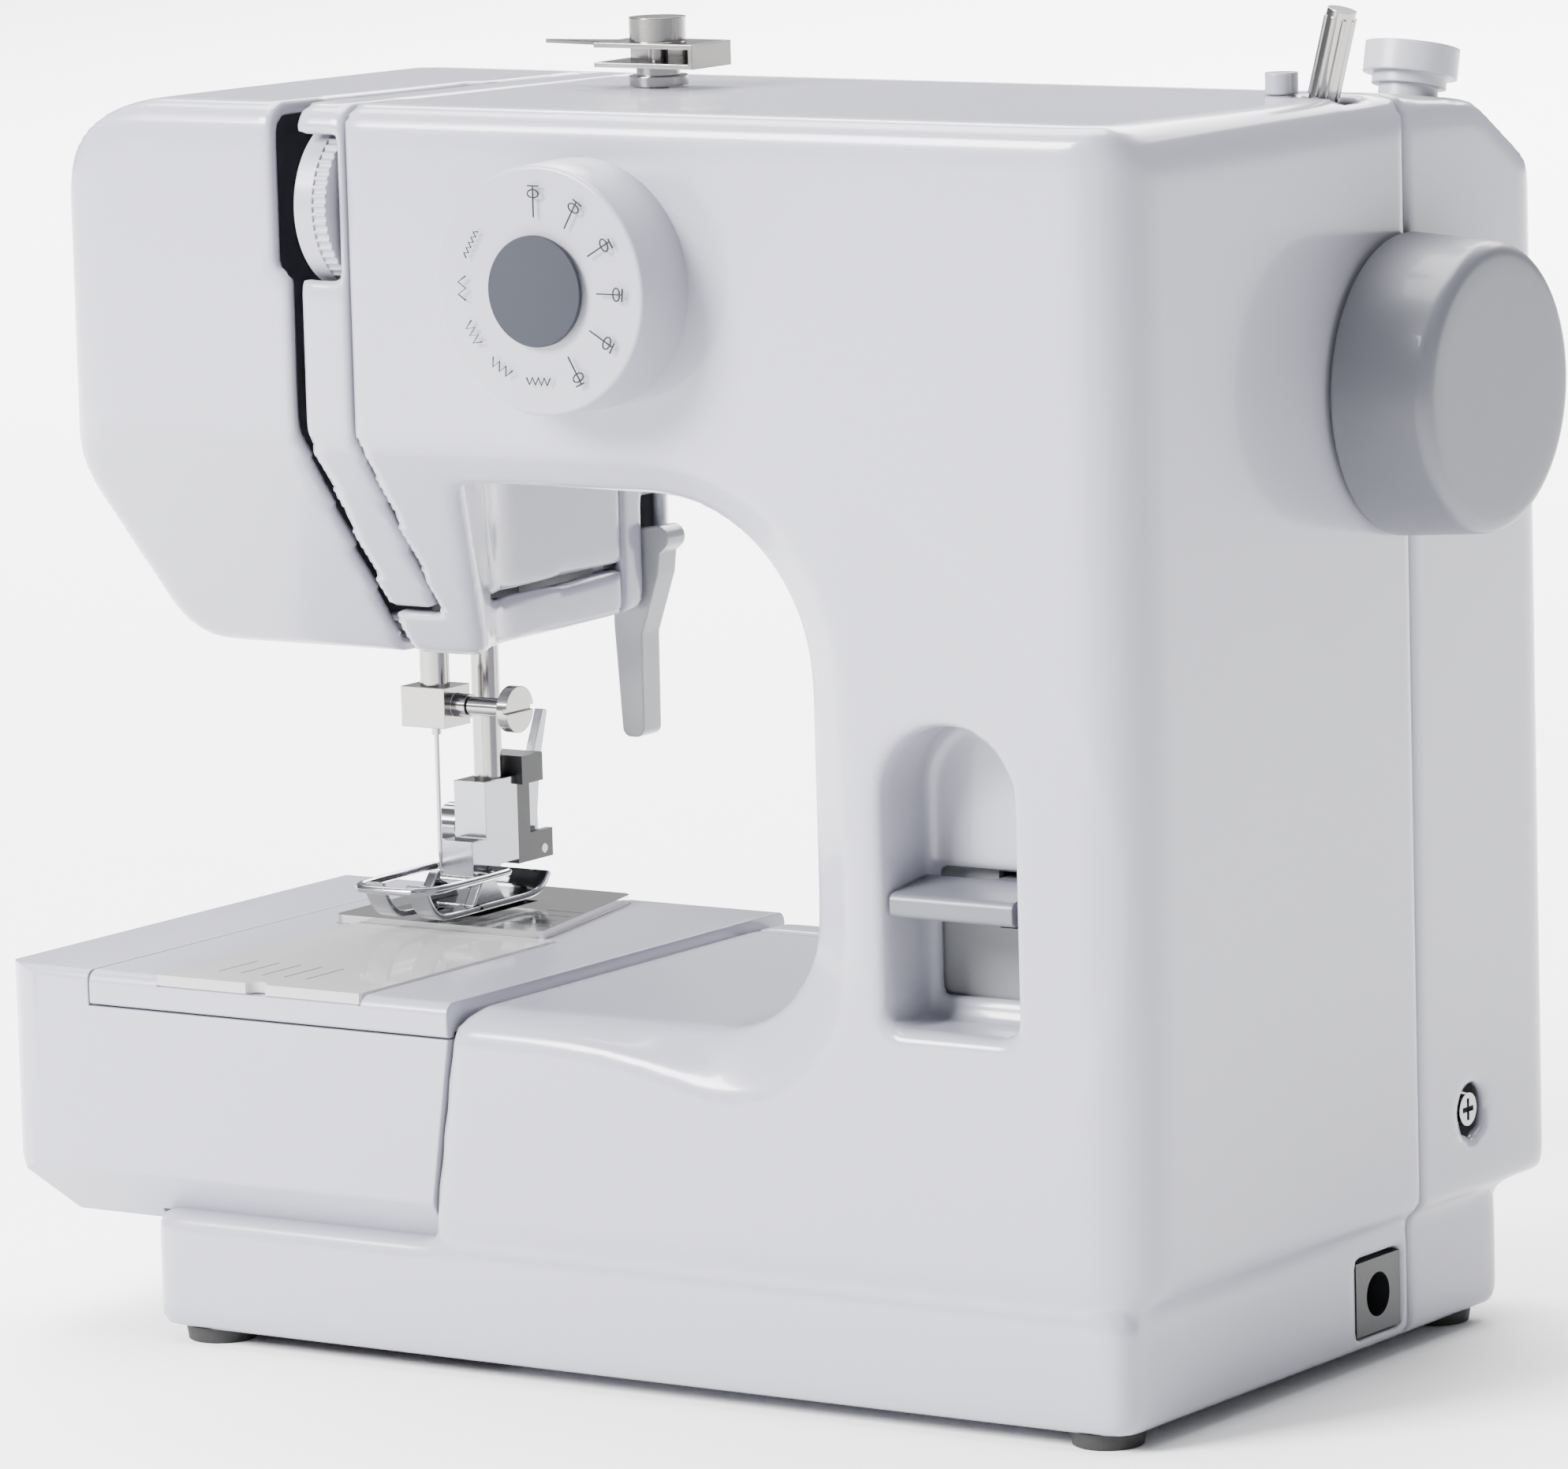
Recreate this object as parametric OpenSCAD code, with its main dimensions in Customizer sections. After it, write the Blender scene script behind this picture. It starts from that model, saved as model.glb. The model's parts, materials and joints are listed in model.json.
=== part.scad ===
// Compact household sewing machine: a C-shaped moulded housing in two shells,
// with the needle drive, hook, feed, motor and controls as separate pieces.
// X runs along the arm to the handwheel, -Y is the front, Z = 0 is the table.

/* [Overall] */
// Length from the left end of the bed to the handwheel's face
overall_w = 300; // [250:5:360]
// Depth from the pattern dial's face to the back of the housing
overall_d = 180; // [150:5:216]
// Height of the housing's top above the table
body_h = 255.5; // [240:0.5:300]
// Height of the sewing bed above the table
bed_h = 76; // [72:0.5:84]

/* [Housing] */
// Wall of the moulded shells
wall = 2.6; // [1.8:0.1:3.6]
// Width of the column between the throat and the right side
column_w = 78; // [72:1:90]
// Height of the arm from its underside to the top
arm_h = 75.5; // [70:0.5:84]
// Open height between the bed and the underside of the head
needle_gap = 62.5; // [56:0.5:70]
// Height of the plinth under the column and bed
plinth_h = 26; // [22:0.5:32]
// Depth from the front face to the joint between the two shells
split_depth = 107; // [100:1:112]
// Gap between moulded panels that meet
seam = 0.4; // [0.3:0.1:0.8]
// Radius of the housing's front vertical corner
corner_r = 13; // [8:1:18]

/* [Needle and foot] */
// Distance of the needle from the left end of the bed
needle_in = 60; // [56:1:66]
// Depth of the needle behind the front face
needle_depth = 76; // [72:1:80]
// Distance from the needle bar back to the presser bar
bar_pitch = 18; // [16:0.5:20]
// Diameter of the needle bar
needle_bar_d = 6.2; // [5:0.1:7.2]
// Diameter of the presser bar
presser_bar_d = 6; // [5:0.1:7]
// Radial clearance of the shafts and bars in their bushes
run_fit = 0.05; // [0.02:0.01:0.1]
// Gap under the presser foot when it is lowered without cloth
foot_gap = 1.1; // [1.1:0.1:2]

/* [Drive] */
// Diameter of the handwheel
wheel_d = 60; // [54:1:66]
// How far the handwheel stands out of the housing
wheel_out = 22.5; // [20:0.5:28]
// Diameter of the main and lower shafts
shaft_d = 8; // [6:0.5:10]
// Drop of the main shaft's axis below the housing's top
shaft_drop = 59.5; // [56:0.5:64]
// Diameter of the motor's casing
motor_d = 44; // [38:1:48]
// Pitch radius of the belt pulley on the main shaft
big_pulley_r = 22; // [18:0.5:25]
// Pitch radius of the motor's pulley
motor_pulley_r = 8; // [6:0.5:10]
// Diameter of the bobbin
bobbin_d = 20.5; // [19:0.1:21]

/* [Controls] */
// Diameter of the pattern dial
dial_d = 49; // [44:1:54]
// How far the pattern dial stands out of the front face
dial_out = 17; // [14:0.5:20]
// Diameter of the thread tension wheel
tension_d = 35; // [30:1:36]
// How far the tension wheel stands out of its window
tension_out = 2.7; // [1.5:0.1:3.5]
// Width of the reverse lever's recess
recess_w = 30; // [28:1:36]
// Depth of the reverse lever's recess
recess_depth = 18; // [15:0.5:22]
// Diameter of the rubber feet
foot_d = 15; // [12:0.5:18]
// Height of the rubber feet below the plinth
foot_h = 3; // [2:0.5:4]

/* [Hidden] */
$fn = 64;
steps = 6;                                  // pieces of each rounded outline corner
big = 400;                                  // longer than the machine in any direction

bed_x0 = -overall_w / 2;                    // left end of the bed
side_x = overall_w / 2 - wheel_out;         // right side of the housing
front_y = -overall_d / 2 + dial_out;        // front face
back_y = overall_d / 2;                     // back face
top_z = body_h;
split_y = front_y + split_depth;
throat_x = side_x - column_w;               // right side of the throat
arm_z = top_z - arm_h;                      // underside of the arm
head_z = bed_h + needle_gap;                // underside of the head
crease_z = arm_z + 9;                       // where the front face starts to lean back
needle_x = bed_x0 + needle_in;
needle_y = front_y + needle_depth;
presser_y = needle_y + bar_pitch;
head_x0 = bed_x0 + 20;                      // left side of the head
head_x1 = needle_x + 62;                    // right side of the head at its front
head_x2 = needle_x + 27;                    // right side of the head at its back
lean_y = front_y + 45;                      // how far the leaning face reaches at the bottom
head_back_y = front_y + 137;
bed_back_y = front_y + 121.5;
root_x = needle_x + 57;                     // where the bed plate meets the housing
root_z = bed_h - 1.5;                       // top of the housing's own part of the bed
plinth_x0 = bed_x0 + 38;
plinth_x1 = side_x - 3.5;
plinth_y1 = front_y + 147;
bevel_y = back_y - 26;                      // where the top's rear bevel starts
bevel_z = top_z - 6;
rear_z = top_z - 22.5;                      // where the rear bevel ends
shaft_y = split_y - 3;
shaft_z = top_z - shaft_drop;
arm_plate_x0 = bed_x0 + 25;                 // left end of the free arm
arm_front_y = front_y + 24;                 // front of the free arm, behind the tray
arm_roof_z = bed_h - 6;                     // top of the free arm, under the bed plate
plate_front_y = needle_y - 7;               // front edge of the needle plate
plate_z = bed_h + 1.8;                      // top of the needle plate
bar_guide_z = head_z + 5;                   // underside of the bars' lower bush
slot_x0 = needle_x + 19;                    // take-up slot, left side
panel_x0 = needle_x + 25;                   // tension panel, left side
panel_x1 = needle_x + 36.7;                 // tension panel, right side
panel_z0 = head_z + 10.5;                      // lower end of the tension panel
belt_x = side_x - 19.5;                     // middle of the drive belt
timing_x = side_x - 45.5;                   // middle of the timing belt
motor_y = front_y + 66;
motor_z = plinth_h + 34;
lower_z = plinth_h + 24;                    // height of the lower shaft
hook_y = needle_y - 18;                     // hook axis
hook_r = 17.2;
dial_x = needle_x + 94.3;
dial_z = top_z - 33.5;
tension_x = needle_x + 30.4;
tension_y = front_y + tension_d / 2 - tension_out;
tension_z = top_z - wall - tension_d / 2 - 0.8;
recess_x1 = side_x - 27.5;
recess_x0 = recess_x1 - recess_w;
recess_z0 = bed_h + 3;
recess_z1 = recess_z0 + 60;
lever_z = recess_z0 + 25;
guide_x = needle_x + 66;                    // top thread guide
guide_y = front_y + 69;
winder_x = side_x - 12;
winder_y = front_y + 93;
winder_tilt = 15;
stop_x = side_x - 19.5;
spool_x = side_x - 12;
spool_y = back_y - 34;
spool_tilt = 14;

white = [0.90, 0.90, 0.93];
grey = [0.60, 0.60, 0.63];
steel = [0.75, 0.75, 0.77];
cast = [0.55, 0.56, 0.58];
black = [0.08, 0.08, 0.09];

// --- Outline helpers -----------------------------------------------------

function xy(p) = [p[0], p[1]];
function unit(v) = v / norm(v);
// Points of one rounded corner at b, between the sides from a and to c
function corner(a, b, c, r) =
  r <= 0 ? [b] :
  let (u = unit(a - b), w = unit(c - b), half = acos(u * w) / 2,
       centre = b + unit(u + w) * r / sin(half),
       p = b + u * r / tan(half) - centre, q = b + w * r / tan(half) - centre,
       a0 = atan2(p[1], p[0]), turn = atan2(q[1], q[0]) - a0,
       sweep = turn > 180 ? turn - 360 : turn < -180 ? turn + 360 : turn)
  [for (i = [0:steps]) centre + r * [cos(a0 + sweep * i / steps), sin(a0 + sweep * i / steps)]];
// Closed outline through [x, y, corner radius] points
function outline(v) = let (n = len(v))
  [for (i = [0:n - 1]) each corner(xy(v[(i + n - 1) % n]), xy(v[i]), xy(v[(i + 1) % n]), v[i][2])];

// Extrusions along each axis, from one station to another
module along_x(x0, x1) translate([x0, 0, 0]) rotate([90, 0, 90]) linear_extrude(x1 - x0) children();
module along_y(y0, y1) translate([0, y1, 0]) rotate([90, 0, 0]) linear_extrude(y1 - y0) children();
module along_z(z0, z1) translate([0, 0, z0]) linear_extrude(z1 - z0) children();
module box(lo, hi) translate(lo) cube(hi - lo);
module rod_x(x0, x1, y, z, d) translate([x0, y, z]) rotate([0, 90, 0]) cylinder(h = x1 - x0, d = d);
module rod_y(y0, y1, x, z, d) translate([x, y1, z]) rotate([90, 0, 0]) cylinder(h = y1 - y0, d = d);
module rod_z(z0, z1, x, y, d) translate([x, y, z0]) cylinder(h = z1 - z0, d = d);

// --- Housing form, reduced on every side by s -----------------------------

// Side view of the column; the arm shares its top
function column_side(s) = outline([
  [front_y + s, plinth_h + 1 + s, 0], [front_y + s, top_z - s, 4],
  [split_y, top_z - 2.3 - s, 0], [bevel_y, bevel_z - s, 6],
  [back_y - s, rear_z - s * 0.6, 6], [back_y - s, plinth_h + 1 + s, 3]]);
function arm_side(s) = outline([
  [front_y + s, crease_z + s * 0.4, 0], [front_y + s, top_z - s, 4],
  [split_y, top_z - 2.3 - s, 0], [bevel_y, bevel_z - s, 6],
  [back_y - s, rear_z - s * 0.6, 6], [back_y - s, arm_z + 14 + s, 3],
  [head_back_y, arm_z - 4 + s, 0], [head_back_y - 4, arm_z + s, 0], [front_y + 8.4 + s, arm_z + s, 0]]);
function head_side(s) = outline([
  [front_y + s, crease_z + s * 0.4, 3], [front_y + s, top_z - s, 4],
  [split_y, top_z - 2.3 - s, 0], [bevel_y, bevel_z - s, 6],
  [back_y - s, rear_z - s * 0.6, 6], [back_y - s, arm_z + 14 + s, 3],
  [head_back_y - s, arm_z - 6 + s, 3], [head_back_y - s, head_z + s, 6], [lean_y + s, head_z + s, 6]]);
// Plan of the column, and of the head with its curved right flank
function column_plan(s) = outline([
  [throat_x + s, front_y + 8 + s, 0], [throat_x + 12 + s, front_y + s, 0],
  [side_x - s, front_y + s, corner_r - s], [side_x - s, back_y - s, 8 - s],
  [throat_x + s, back_y - s, 8 - s]]);
function head_plan(s) = outline([
  [head_x0 + s, front_y + s, 16 - s], [side_x - 40, front_y + s, 0], [side_x - 40, back_y - s, 0],
  [head_x0 + s, back_y - s, 20 - s]]);
function flank_plan(s) = outline([
  [head_x0, front_y, 0], [head_x1 - s, front_y, 0], [head_x2 + 2 - s, front_y + 58, 30],
  [head_x2 - s, split_y, 0], [head_x2 - 2 - s, head_back_y - s, 16], [head_x0, head_back_y - s, 0]]);

module column_form(s) intersection() {
  along_x(throat_x + s, side_x - s) polygon(column_side(s));
  along_z(plinth_h, top_z) polygon(column_plan(s));
  along_y(front_y, back_y) polygon(outline([
    [throat_x, plinth_h, 0], [side_x - s, plinth_h, 0], [side_x - s, top_z - s, 8 - s],
    [throat_x, top_z - s, 0]]));
}
module arm_form(s) intersection() {
  along_x(head_x0, side_x - 30) polygon(arm_side(s));
  along_z(arm_z, top_z) polygon(head_plan(s));
  along_y(front_y, back_y) polygon(outline([
    [head_x0 + s, arm_z, 0], [side_x - 30, arm_z, 0], [side_x - 30, top_z - s, 0],
    [head_x0 + s, top_z - s, 30 - s]]));
}
module head_form(s) intersection() {
  along_x(head_x0 + s, head_x1) polygon(head_side(s));
  along_z(head_z, crease_z + 4) polygon(flank_plan(s));
  along_z(head_z, top_z) polygon(head_plan(s));
  along_y(front_y, back_y) polygon(outline([
    [head_x0 + s, head_z + s, 9], [head_x1, head_z + s, 0], [head_x1, crease_z + 4, 0],
    [head_x0 + s, crease_z + 4, 0]]));
}
// Fillets that round the throat into the arm and into the bed
module throat_fillets(s) {
  along_y(front_y + 8 + s, back_y - 8 - s) intersection() {
    polygon(outline([[throat_x - 36, arm_z + s, 0], [throat_x + s, arm_z + s, 36],
      [throat_x + s, arm_z - 36, 0], [throat_x + s + 8, arm_z - 36, 0],
      [throat_x + s + 8, arm_z + s + 8, 0], [throat_x - 36, arm_z + s + 8, 0]]));
    translate([throat_x - 40, arm_z - 40]) square([60, 60]);
  }
  along_y(front_y + s, bed_back_y - s)
    polygon(outline([[throat_x - 24, root_z - s, 0], [throat_x + s, root_z - s, 24],
      [throat_x + s, root_z + 24, 0], [throat_x + s + 8, root_z + 24, 0],
      [throat_x + s + 8, root_z - s - 8, 0], [throat_x - 24, root_z - s - 8, 0]]));
}
module root_form(s) intersection() {
  along_x(root_x + s, throat_x + 12) polygon(outline([
    [front_y + s, plinth_h + s, 0], [front_y + s, root_z - s, 7],
    [bed_back_y - s, root_z - s, 5], [bed_back_y - s, plinth_h + s, 0]]));
  along_y(front_y, bed_back_y) polygon([
    [root_x - 7 + s, plinth_h], [root_x + s, root_z], [throat_x + 12, root_z], [throat_x + 12, plinth_h]]);
}
module plinth_form(s, z0) along_z(z0, plinth_h - (s > 0 ? s : 0)) polygon(outline([
  [plinth_x0 + s, front_y + s, 6], [plinth_x1 - s, front_y + s, 6],
  [plinth_x1 - s, plinth_y1 - s, 6], [plinth_x0 + s, plinth_y1 - s, 6]]));

module housing_solid() {
  column_form(0);
  arm_form(0);
  head_form(0);
  throat_fillets(0);
  root_form(0);
  plinth_form(0, foot_h);
  box([root_x, front_y, plinth_h - 2], [plinth_x1 - 10, plinth_y1 - 10, plinth_h + 4]);
}
module housing_cavity() {
  column_form(wall);
  arm_form(wall);
  head_form(wall);
  root_form(wall);
  plinth_form(wall, foot_h - 1);
  // the column and the bed are open into the plinth
  box([root_x + 12, front_y + 2 * wall, foot_h], [throat_x + 8, bed_back_y - 2 * wall, plinth_h + 10]);
  box([throat_x + 6, front_y + 2 * wall, foot_h],
      [plinth_x1 - wall - 2, plinth_y1 - wall - 2, plinth_h + 10]);
  // the arm opens into the column, and the column into the bed
  box([throat_x - 20, front_y + 14 + wall, arm_z + 18], [throat_x + 20, back_y - wall - 1, rear_z - 8]);
  box([throat_x - 14, front_y + 2 * wall, plinth_h + wall],
      [throat_x + 14, bed_back_y - 2 * wall, root_z - wall - 6]);
}
// The front of the rear shell steps forward along the bed
module rear_zone(gap) {
  box([-big, split_y + gap, root_z + 2], [big, big, big]);
  box([-big, split_y + gap, -big], [throat_x + 26, big, root_z + 2]);
  box([throat_x + 25, split_y + gap, -big], [big, big, root_z + 3]);
}
module shell_holes() {
  // main shaft, reverse lever recess, pattern dial spindle and winder
  rod_x(side_x - 10, side_x + 10, shaft_y, shaft_z, shaft_d + 4);
  rod_y(front_y - 5, front_y + 10, dial_x, dial_z, 12);
  box([winder_x - 4, winder_y - 5, top_z - 14], [winder_x + 8, winder_y + 5, top_z + 5]);
  rod_z(top_z - 14, top_z + 5, stop_x, winder_y, 5.6);
  rod_z(top_z - 14, top_z + 5, guide_x, guide_y, 4.4);
  translate([spool_x, spool_y, top_z - 6]) rotate([-spool_tilt, 0, 0])
    translate([0, 0, -30]) cylinder(h = 60, d = 12.6);
  // lower shaft, needle and presser bars, lifter lever, lamp
  rod_x(root_x - 1, root_x + 6, shaft_y, lower_z, shaft_d + 4);
  box([needle_x - 9, needle_y - 8, head_z - 5], [needle_x + 9, presser_y + 9, head_z + 8]);
  box([lifter_x - 9, lifter_y - 4.2, head_z - 5], [head_x2 + 12, lifter_y + 4.2, lifter_z + 12]);
  box([lamp_x - 8, lamp_y - 7, head_z - 5], [lamp_x + 8, lamp_y + 7, head_z + 8]);
  // power socket and side screw
  box([plinth_x1 - 8, socket_y - 9, foot_h + 3], [side_x + 5, socket_y + 9, foot_h + 19]);
}
lifter_x = head_x2 - wall - 2.9;
lifter_y = front_y + 120;
lifter_z = head_z + 12;
lamp_x = needle_x - 24;
lamp_y = needle_y - 6;
socket_y = front_y + 95.5;

// Recess for the reverse lever: an arched pocket with its own walls
module recess_form(s, y0) along_y(y0, front_y + recess_depth + s) polygon(outline([
  [recess_x0 - s, recess_z0 - s, 4 + s], [recess_x1 + s, recess_z0 - s, 4 + s],
  [recess_x1 + s, recess_z1 + s, recess_w / 2 - 0.5 + s],
  [recess_x0 - s, recess_z1 + s, recess_w / 2 - 0.5 + s]]));

module shell_body() difference() {
  union() {
    difference() {
      housing_solid();
      housing_cavity();
    }
    recess_form(wall, front_y);
  }
  recess_form(0, front_y - 5);
  box([recess_x0 + 1.5, front_y + recess_depth - 1, recess_z0 + 4.5],
      [recess_x1 - 3, front_y + recess_depth + wall + 1, recess_z0 + 29.5]);
  shell_holes();
}

// --- Casings ---------------------------------------------------------------

module front_shell() color(white) difference() {
  shell_body();
  rear_zone(0);
  // the face cover and the tension panel lie left of these cuts
  box([-big, -big, panel_z0], [panel_x1 + 0.8, big, top_z + 5]);
  box([-big, -big, head_z - 5], [slot_x0 + 4.5, big, panel_z0 + 1]);
}
module rear_shell() color(white) difference() {
  intersection() {
    shell_body();
    rear_zone(seam);
  }
  // cooling slots behind the motor
  for (i = [0:7]) translate([side_x - 74 + i * 7, back_y - 10, plinth_h + 20]) cube([3.4, 20, 34]);
  // countersunk screw holes at the back
  for (p = rear_screws) rod_y(back_y - 12, back_y + 1, p[0], p[1], 7);
  rod_x(side_x - 4, side_x + 1, side_screw_y, side_screw_z, 7.4);
}
rear_screws = [[side_x - 12, top_z - 40], [side_x - 12, plinth_h + 18], [needle_x + 10, top_z - 40],
  [throat_x + 12, plinth_h + 18]];
side_screw_y = front_y + 128;
side_screw_z = plinth_h + 20;

module face_cover() color(white) difference() {
  intersection() {
    shell_body();
    box([-big, -big, head_z - 5], [slot_x0 + 3.5, split_y, top_z + 5]);
  }
  // the take-up slot is wider above
  box([slot_x0, front_y - 5, top_z - 31], [slot_x0 + 10, split_y - 40, top_z + 5]);
}
module tension_panel() color(white) difference() {
  intersection() {
    shell_body();
    box([panel_x0, -big, panel_z0 + seam], [panel_x1, split_y, top_z + 5]);
  }
  // window for the tension wheel
  box([tension_x - 4.4, front_y - 5, tension_z - 14], [tension_x + 4.4, front_y + 14, tension_z + 14]);
}
module base_pan() color(white) difference() {
  plinth_form(wall + seam, foot_h);
  along_z(foot_h + wall, plinth_h + 1) polygon(outline([
    [plinth_x0 + 2 * wall + seam, front_y + 2 * wall + seam, 5],
    [plinth_x1 - 2 * wall - seam, front_y + 2 * wall + seam, 5],
    [plinth_x1 - 2 * wall - seam, plinth_y1 - 2 * wall - seam, 5],
    [plinth_x0 + 2 * wall + seam, plinth_y1 - 2 * wall - seam, 5]]));
  for (p = feet) rod_z(foot_h - 1, foot_h + wall + 1, p[0], p[1], 6);
  box([plinth_x1 - 8 - wall, socket_y - 9, foot_h + 3], [side_x + 5, socket_y + 9, foot_h + 19]);
}
feet = [for (x = [plinth_x0 + 11, plinth_x1 - 11]) for (y = [front_y + 2 * wall + 4.8, plinth_y1 - 11]) [x, y]];
module rubber_feet() color(black) for (p = feet) {
  translate([p[0], p[1], 0]) cylinder(h = foot_h, d1 = foot_d - 1, d2 = foot_d);
  rod_z(foot_h, foot_h + wall, p[0], p[1], 5.9);
  rod_z(foot_h + wall, foot_h + wall + 1.5, p[0], p[1], 8);
}
module free_arm() color(white) difference() {
  box([arm_plate_x0 + seam, arm_front_y + seam, plinth_h + seam],
      [root_x - 7.4, bed_back_y, arm_roof_z]);
  box([arm_plate_x0 + seam + wall, arm_front_y + seam + wall, plinth_h + seam + wall],
      [root_x - 7.4 - wall, bed_back_y - wall, arm_roof_z + 1]);
  // drive shaft enters from the column
  rod_x(root_x - 20, root_x, shaft_y, lower_z, shaft_d + 4);
}
module bed_plate() color(white) difference() {
  // top slab with a flange down its front
  along_x(arm_plate_x0 + seam, root_x - seam - 1) polygon(outline([
    [front_y, bed_h - 7, 0.8], [front_y, bed_h, 2.5], [bed_back_y, bed_h, 2.5],
    [bed_back_y, arm_roof_z, 0], [front_y + wall, arm_roof_z, 0], [front_y + wall, bed_h - 7, 0]]));
  // well over the hook, under the needle plate and bobbin cover
  box([needle_x - 24.4, front_y + wall, arm_roof_z - 1], [needle_x + 28.4, plate_front_y + 49, bed_h - 2]);
  along_z(arm_roof_z - 1, bed_h + 1) polygon(plate_outline(-0.2));
  box([needle_x - 17.2, front_y - 1, bed_h - 2.01], [needle_x + 34.2, plate_front_y - 0.2, bed_h + 1]);
}
// Needle plate: its right edge runs obliquely
function plate_outline(s) = outline([
  [needle_x - 23 + s, plate_front_y + s, 2], [needle_x + 30 - s, plate_front_y + s, 2],
  [needle_x + 20 - s, plate_front_y + 48 - s, 3], [needle_x - 23 + s, plate_front_y + 48 - s, 3]]);
module needle_plate() color(steel) difference() {
  along_z(plate_z - 3.4, plate_z) polygon(plate_outline(0));
  // needle slot and the two feed dog slots
  box([needle_x - 3.5, needle_y - 1, plate_z - 5], [needle_x + 3.5, needle_y + 1, plate_z + 1]);
  for (x = [-6.5, 3.5]) box([needle_x + x - 0.4, needle_y + 3, plate_z - 5],
                            [needle_x + x + 3.4, needle_y + 25, plate_z + 1]);
}
module bobbin_cover() color([0.85, 0.9, 0.92, 0.4]) difference() {
  box([needle_x - 17, front_y, bed_h - 1.7], [needle_x + 34, plate_front_y - 0.5, bed_h + 0.5]);
  // finger notch at the front
  rod_z(bed_h - 3, bed_h + 1, needle_x + 8, front_y, 5);
}
// Storage tray: wraps the front and the left of the free arm, slides off to the left
module storage_tray() color(white) {
  difference() {
    intersection() {
      along_y(front_y, bed_back_y) polygon(outline([
        [bed_x0, bed_h, 3], [bed_x0, plinth_h + 13, 2], [bed_x0 + 15, plinth_h - 2, 2],
        [plinth_x0 - seam, plinth_h - 2, 0], [plinth_x0 - seam, plinth_h + seam, 0],
        [root_x - 7.4, plinth_h + seam, 0], [root_x - 1.3, bed_h - 7.3, 0],
        [arm_plate_x0, bed_h - 7.3, 0], [arm_plate_x0, bed_h, 0]]));
      along_z(0, bed_h) polygon(outline([
        [bed_x0, front_y, 12], [root_x, front_y, 0], [root_x, arm_front_y - wall, 0],
        [arm_plate_x0, arm_front_y - wall, 0], [arm_plate_x0, bed_back_y, 0], [bed_x0, bed_back_y, 8]]));
      along_x(bed_x0, root_x) polygon(outline([
        [front_y, bed_h, 2], [front_y, plinth_h + 9, 2], [front_y + 8, plinth_h - 2, 1],
        [bed_back_y, plinth_h - 2, 1], [bed_back_y, bed_h, 2]]));
    }
    // storage wells, open above the front box and towards the arm
    box([arm_plate_x0 + wall, front_y + wall, plinth_h + 11], [root_x - 9, arm_front_y - 2 * wall, bed_h]);
    box([bed_x0 + wall, front_y + 12, plinth_h + 14], [arm_plate_x0 + 1, bed_back_y - 8, bed_h - wall]);
  }
}

// --- Frame and drive ---------------------------------------------------------

frame_y0 = shaft_y + 18;
frame_y1 = frame_y0 + 5;
lug_x = [side_x - 36, needle_x + 72];       // left faces of the shaft lugs
low_lug_x = [side_x - 36, throat_x + 6];
module shaft_lug(x, z) difference() {
  box([x, shaft_y - 9, z - 9], [x + 9, frame_y0 + 1, z + 9]);
  rod_x(x - 1, x + 10, shaft_y, z, shaft_d + 4);
}
module frame() color(cast) {
  // upright plate that carries both shafts, with a foot on the base pan
  along_y(frame_y0, frame_y1) polygon(outline([
    [needle_x - 12, shaft_z + 26, 4], [needle_x - 12, shaft_z - 11, 4], [throat_x + 6, shaft_z - 11, 4],
    [throat_x + 6, lower_z - 14, 2], [throat_x + 14, lower_z - 20, 0], [throat_x + 14, foot_h + wall, 0],
    [side_x - 26, foot_h + wall, 0], [side_x - 26, shaft_z + 26, 4]]));
  box([throat_x + 14, shaft_y - 8, foot_h + wall], [side_x - 26, frame_y0 + 1, foot_h + wall + 5]);
  for (x = lug_x) shaft_lug(x, shaft_z);
  for (x = low_lug_x) shaft_lug(x, lower_z);
}
module bush(x, z) translate([x, shaft_y, z]) rotate([0, 90, 0]) difference() {
  cylinder(h = 9, d = shaft_d + 4);
  translate([0, 0, -1]) cylinder(h = 11, d = shaft_d + 2 * run_fit);
}
module shaft_bushes() color([0.72, 0.55, 0.3]) {
  for (x = lug_x) bush(x, shaft_z);
  for (x = low_lug_x) bush(x, lower_z);
}

crank_x = needle_x + 18;                    // right face of the crank disc
module main_shaft() color(steel) {
  rod_x(crank_x - 3, overall_w / 2 - 6, shaft_y, shaft_z, shaft_d);
  // worm that drives the cam stack, shown as its crests
  for (i = [-3:3]) rod_x(cam_x + 2 * i - 0.4, cam_x + 2 * i + 0.4, shaft_y, shaft_z, shaft_d + 1.6);
}
module handwheel() color(grey) translate([side_x + 1, shaft_y, shaft_z]) rotate([0, 90, 0]) difference() {
  rotate_extrude() difference() {
    union() {
      polygon([[0, 0], [wheel_d / 2, 0], [wheel_d / 2 - 0.8, wheel_out - 5], [0, wheel_out - 5]]);
      translate([0, wheel_out - 5.01]) square([wheel_d / 2 - 4.8, 4.01]);
      intersection() {
        translate([wheel_d / 2 - 4.8, wheel_out - 5]) circle(r = 4);
        translate([0, wheel_out - 5.01]) square([wheel_d / 2, 4.01]);
      }
    }
    // hollow behind, round the hub
    translate([9, -1]) square([wheel_d / 2 - 12, wheel_out - 4]);
  }
  // bore for the main shaft
  translate([0, 0, -1]) cylinder(h = overall_w / 2 - 6 - side_x, d = shaft_d);
}
module grooved_pulley(r, w, bore) rotate([0, 90, 0]) rotate_extrude()
  polygon([[bore / 2, 0], [r + 1.6, 0], [r + 1.6, 1], [r - 1.4, 2], [r - 1.4, w - 2], [r + 1.6, w - 1],
    [r + 1.6, w], [bore / 2, w]]);
module belt_pulley() color(black) translate([belt_x - 4, shaft_y, shaft_z])
  grooved_pulley(big_pulley_r, 8, shaft_d);
module motor_pulley() color(steel) {
  translate([belt_x - 4, motor_y, motor_z]) grooved_pulley(motor_pulley_r, 8, 0);
  rod_x(belt_x - 38, belt_x + 5, motor_y, motor_z, 5);
}

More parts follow.
